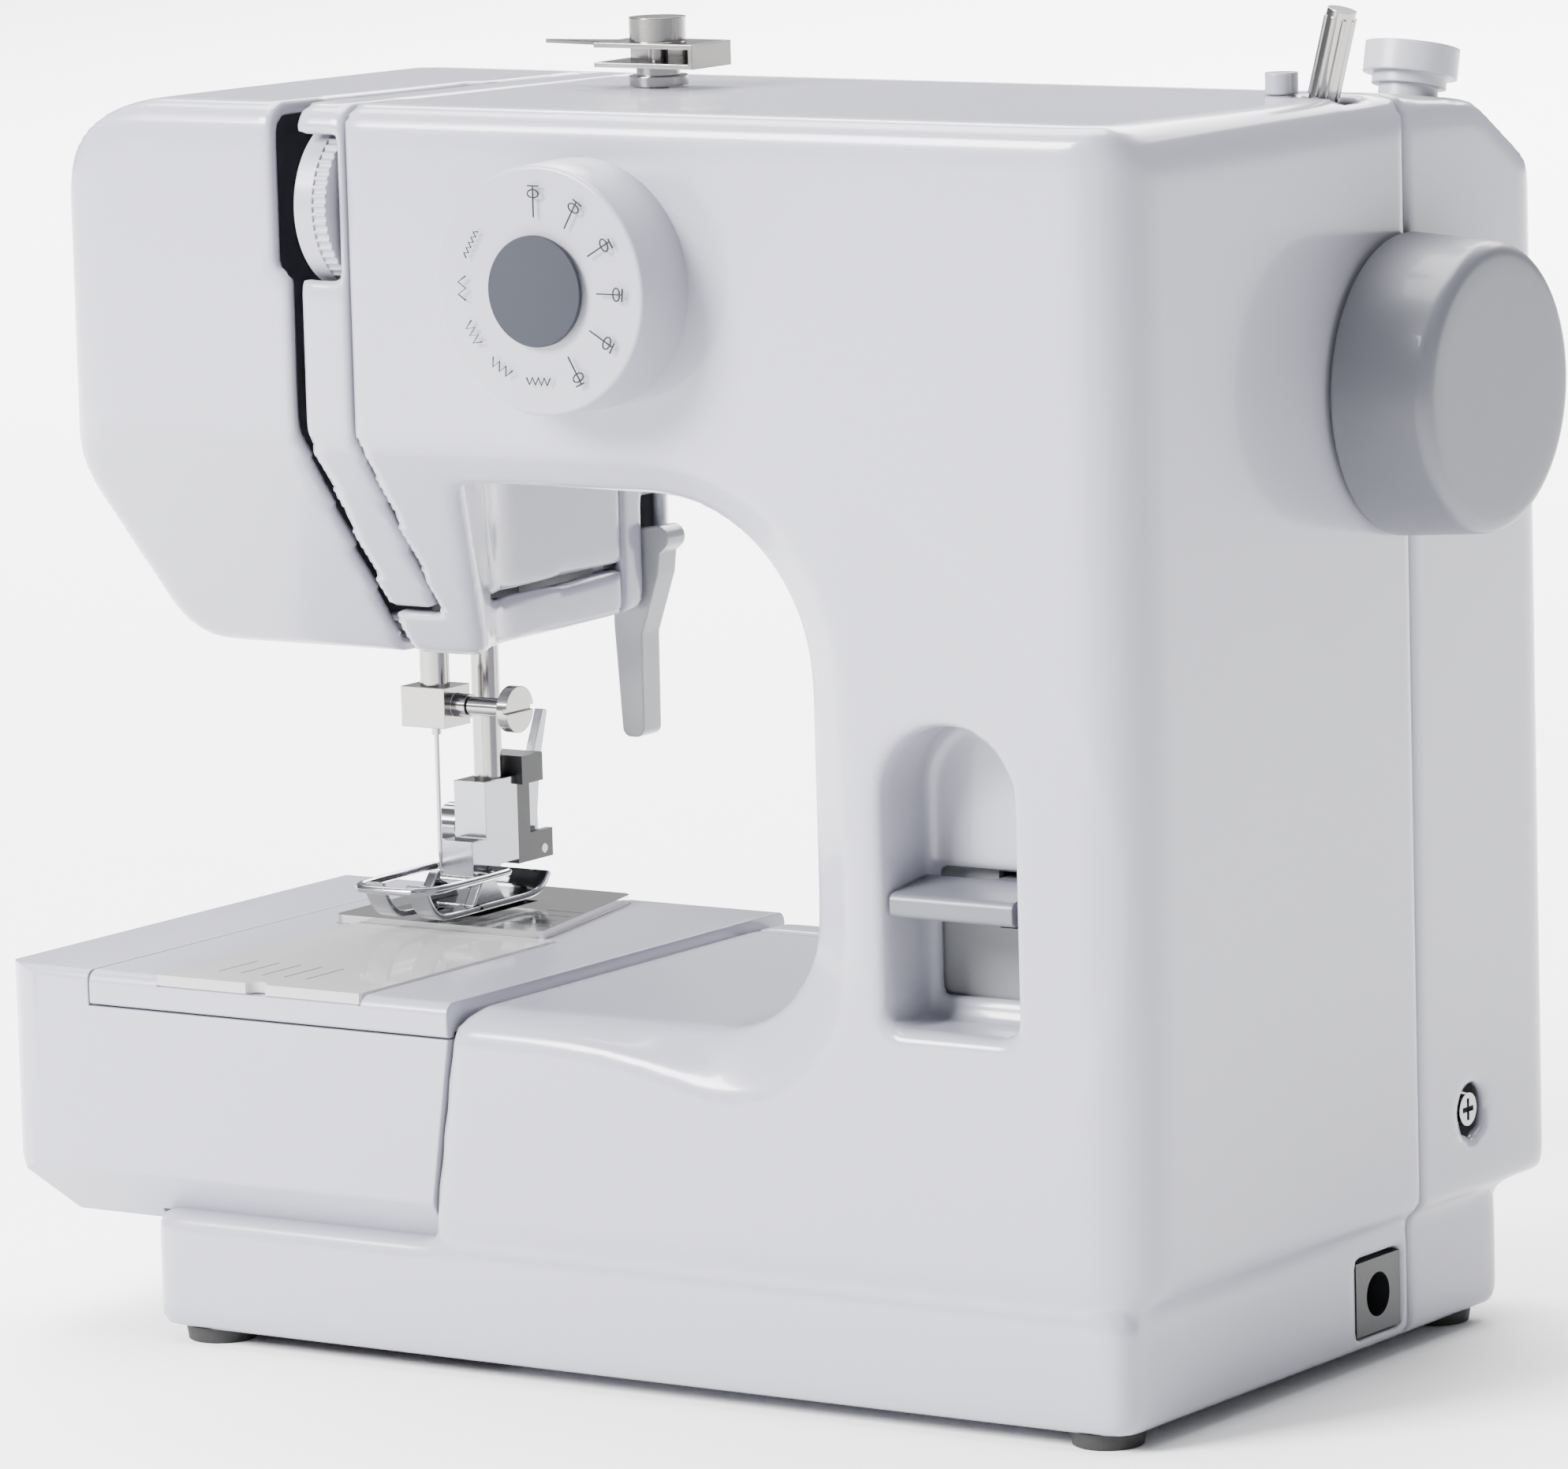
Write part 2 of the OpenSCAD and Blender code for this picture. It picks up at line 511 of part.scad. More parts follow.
// Outline round two wheels of radius r0 and r1: two arcs joined by tangent lines
arc_steps = 24;
function pod(c0, r0, c1, r1) =
  let (dir = atan2(c1[1] - c0[1], c1[0] - c0[0]), lean = asin((r0 - r1) / norm(c1 - c0)),
       half0 = 90 + lean, half1 = 90 - lean)
  concat(
    [for (i = [0:arc_steps]) let (a = dir + 180 - half0 + 2 * half0 * i / arc_steps)
      c0 + r0 * [cos(a), sin(a)]],
    [for (i = [0:arc_steps]) let (a = dir - half1 + 2 * half1 * i / arc_steps) c1 + r1 * [cos(a), sin(a)]]);
module belt_loop(c0, r0, c1, r1, t) difference() {
  polygon(pod(c0, r0 + t, c1, r1 + t));
  polygon(pod(c0, r0, c1, r1));
}
module drive_belt() color(black) along_x(belt_x - 1.7, belt_x + 1.7)
  belt_loop([shaft_y, shaft_z], big_pulley_r - 1, [motor_y, motor_z], motor_pulley_r - 1, 2);
module motor() color(cast) {
  difference() {
    union() {
      rod_x(belt_x - 51, belt_x - 14, motor_y, motor_z, motor_d);
      rod_x(belt_x - 54, belt_x - 9, motor_y, motor_z, 16);
      // foot of the motor bracket on the pan
      box([belt_x - 46, motor_y - 14, foot_h + wall], [belt_x - 20, motor_y + 14, motor_z - 12]);
    }
    rod_x(belt_x - 40, belt_x, motor_y, motor_z, 5 + 2 * run_fit);
    rod_x(belt_x - 49, belt_x - 16, motor_y, motor_z, 9);
  }
}
timing_r = 12;
module timing_ring(z, bore) translate([timing_x - 4.5, shaft_y, z]) rotate([0, 90, 0]) difference() {
  cylinder(h = 9, r = timing_r);
  for (i = [0:15]) rotate([0, 0, i * 22.5]) translate([timing_r, 0, -1]) cylinder(h = 11, r = 0.9, $fn = 24);
  translate([0, 0, -1]) cylinder(h = 11, d = bore);
}
module timing_pulley() color(black) timing_ring(shaft_z, shaft_d);
module timing_belt() color(black) along_x(timing_x - 3.5, timing_x + 3.5)
  belt_loop([shaft_y, shaft_z], timing_r + 0.3, [shaft_y, lower_z], timing_r + 0.3, 1.6);
// Wheel with rounded gullets between its teeth
module gear_disc(r, h, teeth) difference() {
  cylinder(h = h, r = r);
  for (i = [0:teeth - 1]) rotate([0, 0, i * 360 / teeth]) translate([r + 0.2, 0, -1])
    cylinder(h = h + 2, r = 0.9, $fn = 24);
}
screw_gear_r = 7.7;                         // crossed gears on the lower shaft and the idler
idler_y = shaft_y - 2 * screw_gear_r - 0.6;
idler_r = (idler_y - hook_y) * 2 / 3;       // drives the hook at twice the shaft's speed
spur_z = plinth_h + 8;
module lower_shaft() color(steel) {
  rod_x(needle_x - 9, side_x - 24, shaft_y, lower_z, shaft_d);
  timing_ring(lower_z, shaft_d - 0.4);
  translate([needle_x - 7, shaft_y, lower_z]) rotate([0, 90, 0]) gear_disc(screw_gear_r, 14, 12);
}
module idler_gear() color([0.85, 0.82, 0.7]) translate([needle_x, idler_y, 0]) {
  translate([0, 0, spur_z]) gear_disc(idler_r - 0.15, 6, 36);
  translate([0, 0, plinth_h + seam + wall]) cylinder(h = lower_z + 7 - plinth_h - seam - wall, d = 6);
  translate([0, 0, lower_z - 7]) gear_disc(screw_gear_r, 14, 12);
}
hook_z = arm_roof_z - 20;                    // underside of the hook
module hook() color(steel) {
  translate([needle_x, hook_y, hook_z]) difference() {
    cylinder(h = 18, r = hook_r);
    translate([0, 0, 2]) cylinder(h = 20, r = hook_r - 2);
    // gap behind the hook's point
    translate([0, hook_r - 3, 10]) cube([14, 8, 10]);
  }
  rod_z(plinth_h + seam + wall, hook_z, needle_x, hook_y, 6);
  translate([needle_x, hook_y, spur_z]) gear_disc(idler_r / 2 - 0.15, 6, 18);
}
module bobbin_case() color(black) translate([needle_x, hook_y, hook_z + 3]) difference() {
  union() {
    cylinder(h = 15, r = hook_r - 2.5);
    translate([0, 0, 15.3]) cylinder(h = 1.6, r = hook_r + 1.5);
    translate([0, 0, 14]) cylinder(h = 2, r = hook_r - 2.5);
    // stop that keeps the case from turning
    translate([hook_r, -3, 15.3]) cube([6, 6, 1.6]);
  }
  translate([0, 0, 2]) cylinder(h = 20, r = bobbin_d / 2 + 0.6);
  // the needle passes here
  translate([-3, bobbin_d / 2 + 0.8, -1]) cube([6, 10, 20]);
}
module bobbin() color([0.9, 0.92, 0.95, 0.6]) translate([needle_x, hook_y, hook_z + 5.3]) difference() {
  union() {
    cylinder(h = 1, d = bobbin_d);
    translate([0, 0, 9.6]) cylinder(h = 1, d = bobbin_d);
    cylinder(h = 10.6, d = 8);
  }
  translate([0, 0, -1]) cylinder(h = 13, d = 6);
}
dog_y0 = needle_y + 5;
module feed_dog() color(steel) {
  box([needle_x - 6.5, dog_y0, bed_h - 6.6], [needle_x + 6.5, dog_y0 + 17, bed_h - 3.6]);
  for (x = [-6.5, 3.5]) for (i = [0:8]) translate([needle_x + x, dog_y0 + 0.4 + i * 1.8, plate_z - 3])
    rotate([90, 0, 90]) linear_extrude(3) polygon([[0, -4], [1.8, -4], [1.8, 1], [0, 2.4]]);
  for (x = [-6.5, 3.5])
    box([needle_x + x, dog_y0, bed_h - 4], [needle_x + x + 3, dog_y0 + 17, plate_z - 2.2]);
}
module feed_bar() color(cast) difference() {
  box([needle_x - 7, dog_y0 - 1, bed_h - 12], [needle_x + 7, dog_y0 + 30, bed_h - 8.2]);
  rod_x(needle_x - 8, needle_x + 8, dog_y0 + 25, bed_h - 10, 2.2);
}

// --- Needle bar, take-up and presser -------------------------------------------

link_x = needle_x + 5.7;
module crank_disc() color(cast) {
  difference() {
    rod_x(crank_x - 6, crank_x, shaft_y, shaft_z, 34);
    rod_x(crank_x - 3, crank_x + 1, shaft_y, shaft_z, shaft_d);
  }
  // pin stops just short of the link's eye
  rod_x(link_x + 3.6, crank_x - 6, shaft_y, shaft_z + 12, 5);
}
block_z = shaft_z - 7;                      // driving block on the needle bar
module connecting_link() color(steel) {
  along_x(link_x, link_x + 3) difference() {
    polygon(pod([shaft_y, shaft_z + 12], 5, [needle_y, block_z], 4.5));
    translate([shaft_y, shaft_z + 12]) circle(d = 5.4);
    translate([needle_y, block_z]) circle(d = 4.2);
  }
}
module needle_bar() color(steel) difference() {
  union() {
    rod_z(clamp_z, top_z - 12, needle_x, needle_y, needle_bar_d);
    rod_x(needle_x, link_x + 4, needle_y, block_z, 4);
    rod_z(block_z - 4, block_z + 4, needle_x, needle_y, needle_bar_d + 0.8);
  }
  // socket for the needle's shank
  rod_z(clamp_z - 1, clamp_z + 12, needle_x, needle_y, 2.04);
}
clamp_z = head_z - 19;                      // lower end of the needle bar
module needle_clamp() color(steel) difference() {
  union() {
    box([needle_x - 5.5, needle_y - 4.6, clamp_z - 1], [needle_x + 5.5, needle_y + 4.6, clamp_z + 7.5]);
    rod_x(needle_x + 5.5, needle_x + 9, needle_y, clamp_z + 3.5, 5);
  }
  rod_z(clamp_z - 2, clamp_z + 9, needle_x, needle_y, needle_bar_d);
  rod_x(needle_x + 2, needle_x + 10, needle_y, clamp_z + 3.5, 3.1);
}
module clamp_screw() color(steel) difference() {
  union() {
    rod_x(needle_x + 3.3, needle_x + 20, needle_y, clamp_z + 3.5, 2.96);
    rod_x(needle_x + 9.2, needle_x + 19, needle_y, clamp_z + 3.5, 4);
    rod_x(needle_x + 19, needle_x + 21.5, needle_y, clamp_z + 3.5, 9.8);
  }
  box([needle_x + 20.7, needle_y - 6, clamp_z + 3], [needle_x + 22, needle_y + 6, clamp_z + 4]);
}
needle_tip_z = clamp_z - 33;
module needle() color(steel) {
  rod_z(clamp_z - 3, clamp_z + 11.5, needle_x, needle_y, 2);
  translate([needle_x, needle_y, needle_tip_z + 5]) cylinder(h = clamp_z - 3 - needle_tip_z - 5, d = 1);
  translate([needle_x, needle_y, needle_tip_z]) cylinder(h = 5, d1 = 0.2, d2 = 1);
}
module bar_bracket() color(cast) difference() {
  union() {
    // two guide blocks joined by a back plate that bolts to the frame
    for (z = [bar_guide_z, shaft_z + 13])
      box([needle_x - 9, needle_y - 7, z], [needle_x + 5, presser_y + 7, z + 9]);
    box([needle_x - 9, presser_y + 5, bar_guide_z], [needle_x - 5, presser_y + 9, shaft_z + 22]);
    box([needle_x - 12, presser_y + 5, shaft_z - 8], [needle_x - 5, frame_y0, shaft_z + 22]);
    // studs for the take-up lever and the lifter
    rod_x(needle_x + 4, take_up_x + 2.8, take_up_y, take_up_z, 4);
    box([needle_x - 9, presser_y + 6, bar_guide_z], [lifter_x + 2.6, presser_y + 10, bar_guide_z + 9]);
    rod_y(presser_y + 9, lifter_y + 3.2, lifter_x, lifter_z, 4);
  }
  rod_z(bar_guide_z - 1, shaft_z + 30, needle_x, needle_y, needle_bar_d + 2 * run_fit);
  rod_z(bar_guide_z - 1, shaft_z + 30, needle_x, presser_y, presser_bar_d + 2 * run_fit);
}
arm_lift_z = lifter_z + 5.3;                 // underside of the lifting arm
holder_z = plate_z + foot_gap + 12;         // underside of the foot holder
module presser_bar() color(steel) {
  rod_z(holder_z + 1, shaft_z + 40, needle_x, presser_y, presser_bar_d);
  // collar and lifting arm, worked by the lever's cam
  rod_z(arm_lift_z, arm_lift_z + 4, needle_x, presser_y, presser_bar_d + 4);
  difference() {
    box([needle_x, presser_y - 3, arm_lift_z], [lifter_x - 0.2, presser_y + 3, arm_lift_z + 4]);
    rod_z(arm_lift_z - 1, arm_lift_z + 5, needle_x, presser_y, presser_bar_d);
  }
  box([lifter_x - 6, presser_y - 3, arm_lift_z], [lifter_x - 0.2, lifter_y + 2.6, arm_lift_z + 4]);
}
module presser_spring() color(steel) translate([needle_x, presser_y, arm_lift_z + 5]) {
  for (i = [0:9]) translate([0, 0, 0.4 + i * 5]) rotate_extrude($fn = 32)
    translate([presser_bar_d / 2 + 1.4, 0]) circle(r = 0.8, $fn = 16);
}
module foot_holder() color(steel) difference() {
  union() {
    box([needle_x - 4, presser_y - 7, holder_z - 4], [needle_x + 4, presser_y + 4.5, holder_z + 14]);
    box([needle_x - 4, presser_y - 12, holder_z - 6], [needle_x + 4, presser_y - 2, holder_z + 2]);
    rod_x(needle_x - 5.6, needle_x + 5.6, presser_y - 11, holder_z - 6.5, 3);
  }
  rod_z(holder_z + 1, holder_z + 20, needle_x, presser_y, presser_bar_d);
  rod_x(needle_x - 6, needle_x - 2, presser_y, holder_z + 3.5, 3.1);
}
module foot_screw() color(steel) difference() {
  union() {
    rod_x(needle_x - 7, needle_x - presser_bar_d / 2 - 0.1, presser_y, holder_z + 3.5, 2.96);
    rod_x(needle_x - 10.4, needle_x - 6, presser_y, holder_z + 3.5, 9);
  }
  box([needle_x - 11, presser_y - 6, holder_z + 3], [needle_x - 9.6, presser_y + 6, holder_z + 4]);
}
sole_z = plate_z + foot_gap;
module presser_foot() color(steel) difference() {
  union() {
    // sole with two turned-up toes and a turned-up heel
    along_x(needle_x - 8, needle_x + 8) polygon(concat(
      [[presser_y - 27, sole_z], [presser_y + 6, sole_z], [presser_y + 11, sole_z + 4],
       [presser_y + 10, sole_z + 5.2], [presser_y + 5, sole_z + 1.6]],
      [[presser_y - 27, sole_z + 1.6], [presser_y - 31, sole_z + 4.4], [presser_y - 33.4, sole_z + 9],
       [presser_y - 34.6, sole_z + 8.4], [presser_y - 32.2, sole_z + 3.4]]));
    // ears that take the holder's cross pin
    for (x = [-7.4, 4.6])
      box([needle_x + x, presser_y - 14, sole_z + 1], [needle_x + x + 2.8, presser_y - 8, sole_z + 8]);
  }
  box([needle_x - 3, presser_y - 36, sole_z - 1], [needle_x + 3, presser_y - 20.5, sole_z + 12]);
  box([needle_x - 4, needle_y - 2, sole_z - 1], [needle_x + 4, needle_y + 1.8, sole_z + 12]);
  rod_x(needle_x - 9, needle_x + 9, presser_y - 11, holder_z - 6.5, 3.16);
}
guard_r = 0.9;
module finger_guard() color(steel) {
  // wire loop round the front of the needle, carried by the presser bar
  gy = needle_y - 19.5;
  gz = sole_z + 7.4;
  for (x = [-9.5, 9.5]) rod_y(gy, presser_y - 6.2, needle_x + x, gz, 2 * guard_r);
  rod_x(needle_x - 9.5, needle_x + 9.5, gy, gz, 2 * guard_r);
  rod_x(needle_x - 9.5, needle_x - 4, presser_y - 6.2, gz, 2 * guard_r);
  rod_x(needle_x + 4, needle_x + 9.5, presser_y - 6.2, gz, 2 * guard_r);
}
release_y = presser_y + 14;                 // pivot of the release lever
release_z = holder_z - 3;
module foot_release() color(black) difference() {
  union() {
    box([needle_x - 4, presser_y + 4.5, holder_z - 5], [needle_x + 4, presser_y + 9, holder_z + 16]);
    box([needle_x - 5.5, presser_y + 4.5, holder_z + 12], [needle_x + 5.5, presser_y + 12, holder_z + 18]);
    for (x = [-4, 2.4])
      box([needle_x + x, presser_y + 8, release_z - 2], [needle_x + x + 1.6, presser_y + 17, release_z + 4]);
  }
  rod_x(needle_x - 7, needle_x + 7, release_y, release_z, 2.2);
}
module release_lever() color(steel) {
  along_x(needle_x - 1, needle_x + 1) polygon(outline([
    [release_y - 2, release_z - 2, 1], [release_y - 1.8, release_z + 12, 3],
    [release_y + 1, release_z + 20, 4],
    [release_y + 5, release_z + 29, 0.5], [release_y + 6.6, release_z + 28.4, 0.5],
    [release_y + 3.4, release_z + 18, 4], [release_y + 2, release_z + 8, 3],
    [release_y + 2, release_z - 2, 1]]));
  rod_x(needle_x - 4, needle_x + 4, release_y, release_z, 2.1);
}
cam_lean = 65;                              // turn of the lever that brings its cam upright
module lifter_lever() color([0.78, 0.79, 0.8]) difference() {
  union() {
    along_y(lifter_y - 3.2, lifter_y + 3.2) polygon(outline([
      [lifter_x - 4, lifter_z + 4.6, 4], [lifter_x + 8.5, lifter_z + 4.6, 4],
      [lifter_x + 7.5, lifter_z - 4, 3], [lifter_x + 3, lifter_z - 17, 3],
      [lifter_x + 2.8, lifter_z - 39, 2], [lifter_x - 2.4, lifter_z - 39, 2],
      [lifter_x - 4, lifter_z - 15, 3]]));
    // cam under the lifting arm
    along_y(lifter_y - 3.2, lifter_y + 3.2)
      polygon(pod([lifter_x, lifter_z], 4.8,
                  [lifter_x + 8.5 * sin(cam_lean), lifter_z + 8.5 * cos(cam_lean)], 2.6));
  }
  rod_y(lifter_y - 5, lifter_y + 5, lifter_x, lifter_z, 4 + 2 * run_fit);
}
take_up_x = slot_x0 + 2.5;
take_up_y = front_y + 70;
take_up_z = shaft_z + 16;
module take_up_lever() color(steel) along_x(take_up_x, take_up_x + 1.8) difference() {
  polygon(pod([take_up_y, take_up_z], 5, [front_y + 12, take_up_z - 2], 3.4));
  translate([take_up_y, take_up_z]) circle(d = 4.2);
  translate([front_y + 12, take_up_z - 2]) circle(d = 2.2);
}
module tension_wheel() color(white) translate([tension_x - 3.8, tension_y, tension_z])
  rotate([0, 90, 0]) difference() {
  cylinder(h = 7.6, d = tension_d);
  // finger ribs on the right half of the rim
  for (i = [0:59]) rotate([0, 0, i * 6])
    translate([tension_d / 2 + 0.35, 0, 4.4]) cylinder(h = 4, r = 0.8, $fn = 16);
  translate([0, 0, -1]) cylinder(h = 10, d = 6 + 2 * run_fit);
}
module tension_discs() color(steel) {
  rod_x(tension_x - 4.6, tension_x + 13, tension_y, tension_z, 6);
  disc_d = 2 * (tension_y - front_y - wall) - 0.4;
  for (x = [5.2, 7.2]) difference() {
    rod_x(tension_x + x, tension_x + x + 1, tension_y, tension_z, disc_d);
    rod_x(tension_x + x - 1, tension_x + x + 2, tension_y, tension_z, 6);
  }
}
cam_x = dial_x;
cam_y = front_y + 42;
worm_wheel_r = 6.8;
cam_z = shaft_z + shaft_d / 2 + 0.8 + worm_wheel_r + 0.3;
module cam_stack() color([0.88, 0.86, 0.8]) {
  // pattern cams, each with a different number of lobes
  for (i = [0:4]) translate([cam_x, cam_y + 3 * i - 6, cam_z]) rotate([90, 0, 0]) linear_extrude(2.4)
    polygon([for (a = [0:6:354]) (13 + 1.4 * cos((i + 3) * a)) * [cos(a), sin(a)]]);
  rod_y(cam_y - 14, shaft_y + 6, cam_x, cam_z, 6);
  // wheel driven by the worm on the main shaft
  translate([cam_x, shaft_y + 4, cam_z]) rotate([90, 0, 0]) gear_disc(worm_wheel_r, 8, 18);
}

// --- Controls and fittings -------------------------------------------------------

module pattern_dial() color(white) {
  translate([dial_x, front_y - 0.6, dial_z]) rotate([90, 0, 0]) rotate_extrude() difference() {
    union() {
      polygon([[0, 0], [dial_d / 2 + 0.6, 0], [dial_d / 2, dial_out - 4], [0, dial_out - 4]]);
      translate([0, dial_out - 4.01]) square([dial_d / 2 - 3, 3.41]);
      intersection() {
        translate([dial_d / 2 - 3, dial_out - 3.6]) circle(r = 3);
        translate([0, dial_out - 4.01]) square([dial_d / 2, 3.5]);
      }
    }
    // seat of the centre cap
    translate([-1, dial_out - 1.6]) square([12, 3]);
  }
  rod_y(front_y - 1, front_y + 16, dial_x, dial_z, 10);
}
module dial_cap() color([0.39, 0.43, 0.5]) translate([dial_x, front_y - dial_out + 1, dial_z])
  rotate([90, 0, 0])
  cylinder(h = 1, r = 10.9);
module reverse_lever() color(grey) {
  // paddle and the arm that reaches back through the window
  along_x(recess_x0 + 0.8, recess_x1 - 1.2) polygon(outline([
    [front_y + 2, lever_z - 3.5, 1.6], [front_y + 2, lever_z + 1.5, 1.6],
    [front_y + recess_depth - 1.5, lever_z + 3.5, 1],
    [front_y + recess_depth - 1.5, lever_z - 1, 1]]));
  along_x(recess_x0 + 15, recess_x1 - 4) polygon([
    [front_y + recess_depth - 2, lever_z], [front_y + recess_depth - 2, lever_z + 3],
    [front_y + recess_depth + 24, lever_z + 3], [front_y + recess_depth + 24, lever_z - 3]]);
  rod_x(recess_x0 + 13, recess_x1 - 2, front_y + recess_depth + 24, lever_z, 7);
}
module reverse_window() color([0.45, 0.45, 0.48]) difference() {
  box([recess_x0, front_y + recess_depth + wall + 0.3, recess_z0 + 3],
      [recess_x1 - 1, front_y + recess_depth + wall + 2, recess_z0 + 32]);
  box([recess_x0 + 14, front_y + recess_depth, lever_z - 7],
      [recess_x1 - 3, front_y + recess_depth + 8, lever_z + 4.2]);
}
guide_z = top_z - 1.3;
module thread_guide() color(steel) {
  rod_z(top_z - 8, guide_z + 12, guide_x, guide_y, 4);
  rod_z(guide_z + 0.2, guide_z + 2.2, guide_x, guide_y, 12);
  rod_z(guide_z + 2.2, guide_z + 4, guide_x, guide_y, 9);
  rod_z(guide_z + 9, guide_z + 14, guide_x, guide_y, 11.6);
  // folded plate that catches the thread
  difference() {
    box([guide_x - 11, guide_y - 7, guide_z + 4], [guide_x + 13, guide_y + 7, guide_z + 9]);
    box([guide_x - 12, guide_y - 8, guide_z + 5], [guide_x + 12, guide_y + 6, guide_z + 8]);
  }
  along_z(guide_z + 8.2, guide_z + 9) polygon([
    [guide_x - 4, guide_y - 5], [guide_x - 27, guide_y - 1], [guide_x - 4, guide_y + 3]]);
}
winder_top = top_z - 1.6;
module winder_tilted() translate([winder_x, winder_y, winder_top - 8]) rotate([0, winder_tilt, 0]) children();
module winder_arm() color(white) difference() {
  box([winder_x - 14, winder_y - 9, top_z - 18.6], [winder_x + 4, winder_y + 9, top_z - 15.6]);
  winder_tilted() translate([0, 0, -20]) cylinder(h = 40, d = 7 + 2 * run_fit);
}
module winder_spindle() color(steel) winder_tilted() {
  translate([0, 0, -10.5]) cylinder(h = 14, d = 7);
  translate([0, 0, 3.5]) cylinder(h = 22, d = 5.8);
  for (i = [0:7]) rotate([0, 0, i * 45]) translate([2.9, 0, 8]) cylinder(h = 16, r = 0.45, $fn = 16);
}
module winder_stop() color(white) {
  rod_z(top_z - 1.8, top_z + 2.4, stop_x, winder_y, 6.6);
  rod_z(top_z - 9, top_z - 1.8, stop_x, winder_y, 5);
}
module spool_pin() color(white) translate([spool_x, spool_y, top_z - 6]) rotate([-spool_tilt, 0, 0]) {
  translate([0, 0, -24]) cylinder(h = 27, d = 12);
  translate([0, 0, 2.8]) cylinder(h = 2.4, d = 15);
  translate([0, 0, 5]) cylinder(h = 6, d = 19);
}
module power_socket() color(black) difference() {
  box([plinth_x1 - 14, socket_y - 8.6, foot_h + 3.4], [plinth_x1 - 0.4, socket_y + 8.6, foot_h + 18.4]);
  rod_x(plinth_x1 - 9, plinth_x1 + 1, socket_y, foot_h + 10.9, 9);
}
module lamp() color([0.95, 0.95, 0.9]) {
  box([lamp_x - 7.6, lamp_y - 6.6, head_z + 0.3], [lamp_x + 7.6, lamp_y + 6.6, head_z + 3]);
  box([lamp_x - 5, lamp_y - 4, head_z + 3], [lamp_x + 5, lamp_y + 4, head_z + 4.6]);
}
module housing_screws() color(steel) {
  for (p = rear_screws) difference() {
    rod_y(back_y - 9, back_y - 1, p[0], p[1], 6.4);
    box([p[0] - 2, back_y - 2.2, p[1] - 0.4], [p[0] + 2, back_y, p[1] + 0.4]);
    box([p[0] - 0.4, back_y - 2.2, p[1] - 2], [p[0] + 0.4, back_y, p[1] + 2]);
  }
  difference() {
    rod_x(side_x - 9, side_x - 1.2, side_screw_y, side_screw_z, 6.8);
    box([side_x - 3, side_screw_y - 2.2, side_screw_z - 0.5],
        [side_x, side_screw_y + 2.2, side_screw_z + 0.5]);
    box([side_x - 3, side_screw_y - 0.5, side_screw_z - 2.2],
        [side_x, side_screw_y + 0.5, side_screw_z + 2.2]);
  }
}

front_shell();
rear_shell();
face_cover();
tension_panel();
base_pan();
rubber_feet();
free_arm();
bed_plate();
needle_plate();
bobbin_cover();
storage_tray();
frame();
main_shaft();
shaft_bushes();
handwheel();
belt_pulley();
drive_belt();
motor();
motor_pulley();
timing_pulley();
timing_belt();
lower_shaft();
idler_gear();
hook();
bobbin_case();
bobbin();
feed_bar();
feed_dog();
crank_disc();
connecting_link();
bar_bracket();
needle_bar();
needle_clamp();
clamp_screw();
needle();
presser_bar();
presser_spring();
foot_holder();
foot_screw();
presser_foot();
finger_guard();
foot_release();
release_lever();
lifter_lever();
take_up_lever();
tension_wheel();
tension_discs();
cam_stack();
pattern_dial();
dial_cap();
reverse_lever();
reverse_window();
thread_guide();
winder_arm();
winder_spindle();
winder_stop();
spool_pin();
power_socket();
lamp();
housing_screws();
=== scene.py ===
import json
import math

import bmesh
import bpy
import numpy as np
from mathutils import Matrix, Vector


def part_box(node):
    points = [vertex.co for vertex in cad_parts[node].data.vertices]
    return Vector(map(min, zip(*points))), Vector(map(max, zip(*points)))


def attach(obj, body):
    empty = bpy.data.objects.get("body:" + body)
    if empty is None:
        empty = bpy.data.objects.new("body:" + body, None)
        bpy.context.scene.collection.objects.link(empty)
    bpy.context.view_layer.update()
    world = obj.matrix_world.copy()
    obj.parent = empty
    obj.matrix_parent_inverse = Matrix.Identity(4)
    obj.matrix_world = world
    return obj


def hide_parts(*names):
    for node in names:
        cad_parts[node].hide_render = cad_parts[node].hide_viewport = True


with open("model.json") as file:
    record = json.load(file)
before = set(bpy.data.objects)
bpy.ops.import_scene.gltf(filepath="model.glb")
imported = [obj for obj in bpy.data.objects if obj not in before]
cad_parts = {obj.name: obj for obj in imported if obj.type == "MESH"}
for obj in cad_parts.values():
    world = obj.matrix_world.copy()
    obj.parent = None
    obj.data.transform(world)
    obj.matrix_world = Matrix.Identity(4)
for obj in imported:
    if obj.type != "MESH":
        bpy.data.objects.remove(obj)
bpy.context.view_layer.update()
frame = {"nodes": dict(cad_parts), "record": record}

MM = 0.001
NODES = frame["nodes"]
BODY_OF = {n: b for b, ns in frame["record"]["behaviour"]["bodies"].items() for n in ns}
SLOT_OF = {s["node"]: s["material_slot"] for s in frame["record"]["subparts"]}


# --- Places read from the frame, in millimetres ----------------------------------

def node_box(node):
    """Low and high corner of a CAD node, each as x, y and z."""
    return [[coordinate / MM for coordinate in place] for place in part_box(node)]


# the front shell reaches from the front face to the parting line, and from the plinth to the side
(plinth_left, front, foot_top), (side, split, top) = node_box("front_shell")
back = node_box("rear_shell")[1][1]
head_left, _, head_bottom = node_box("face_cover")[0]
bed_right, _, bed_top = node_box("bed_plate")[1]
(needle_x0, needle_y0, _), (needle_x1, needle_y1, _) = node_box("needle")
needle_x = (needle_x0 + needle_x1) / 2
needle_y = (needle_y0 + needle_y1) / 2
(dial_x0, dial_y0, dial_z0), (dial_x1, dial_back, dial_z1) = node_box("pattern_dial")
dial_x = (dial_x0 + dial_x1) / 2
dial_z = (dial_z0 + dial_z1) / 2
dial_r = (dial_x1 - dial_x0) / 2
dial_face = dial_y0 + 1.0

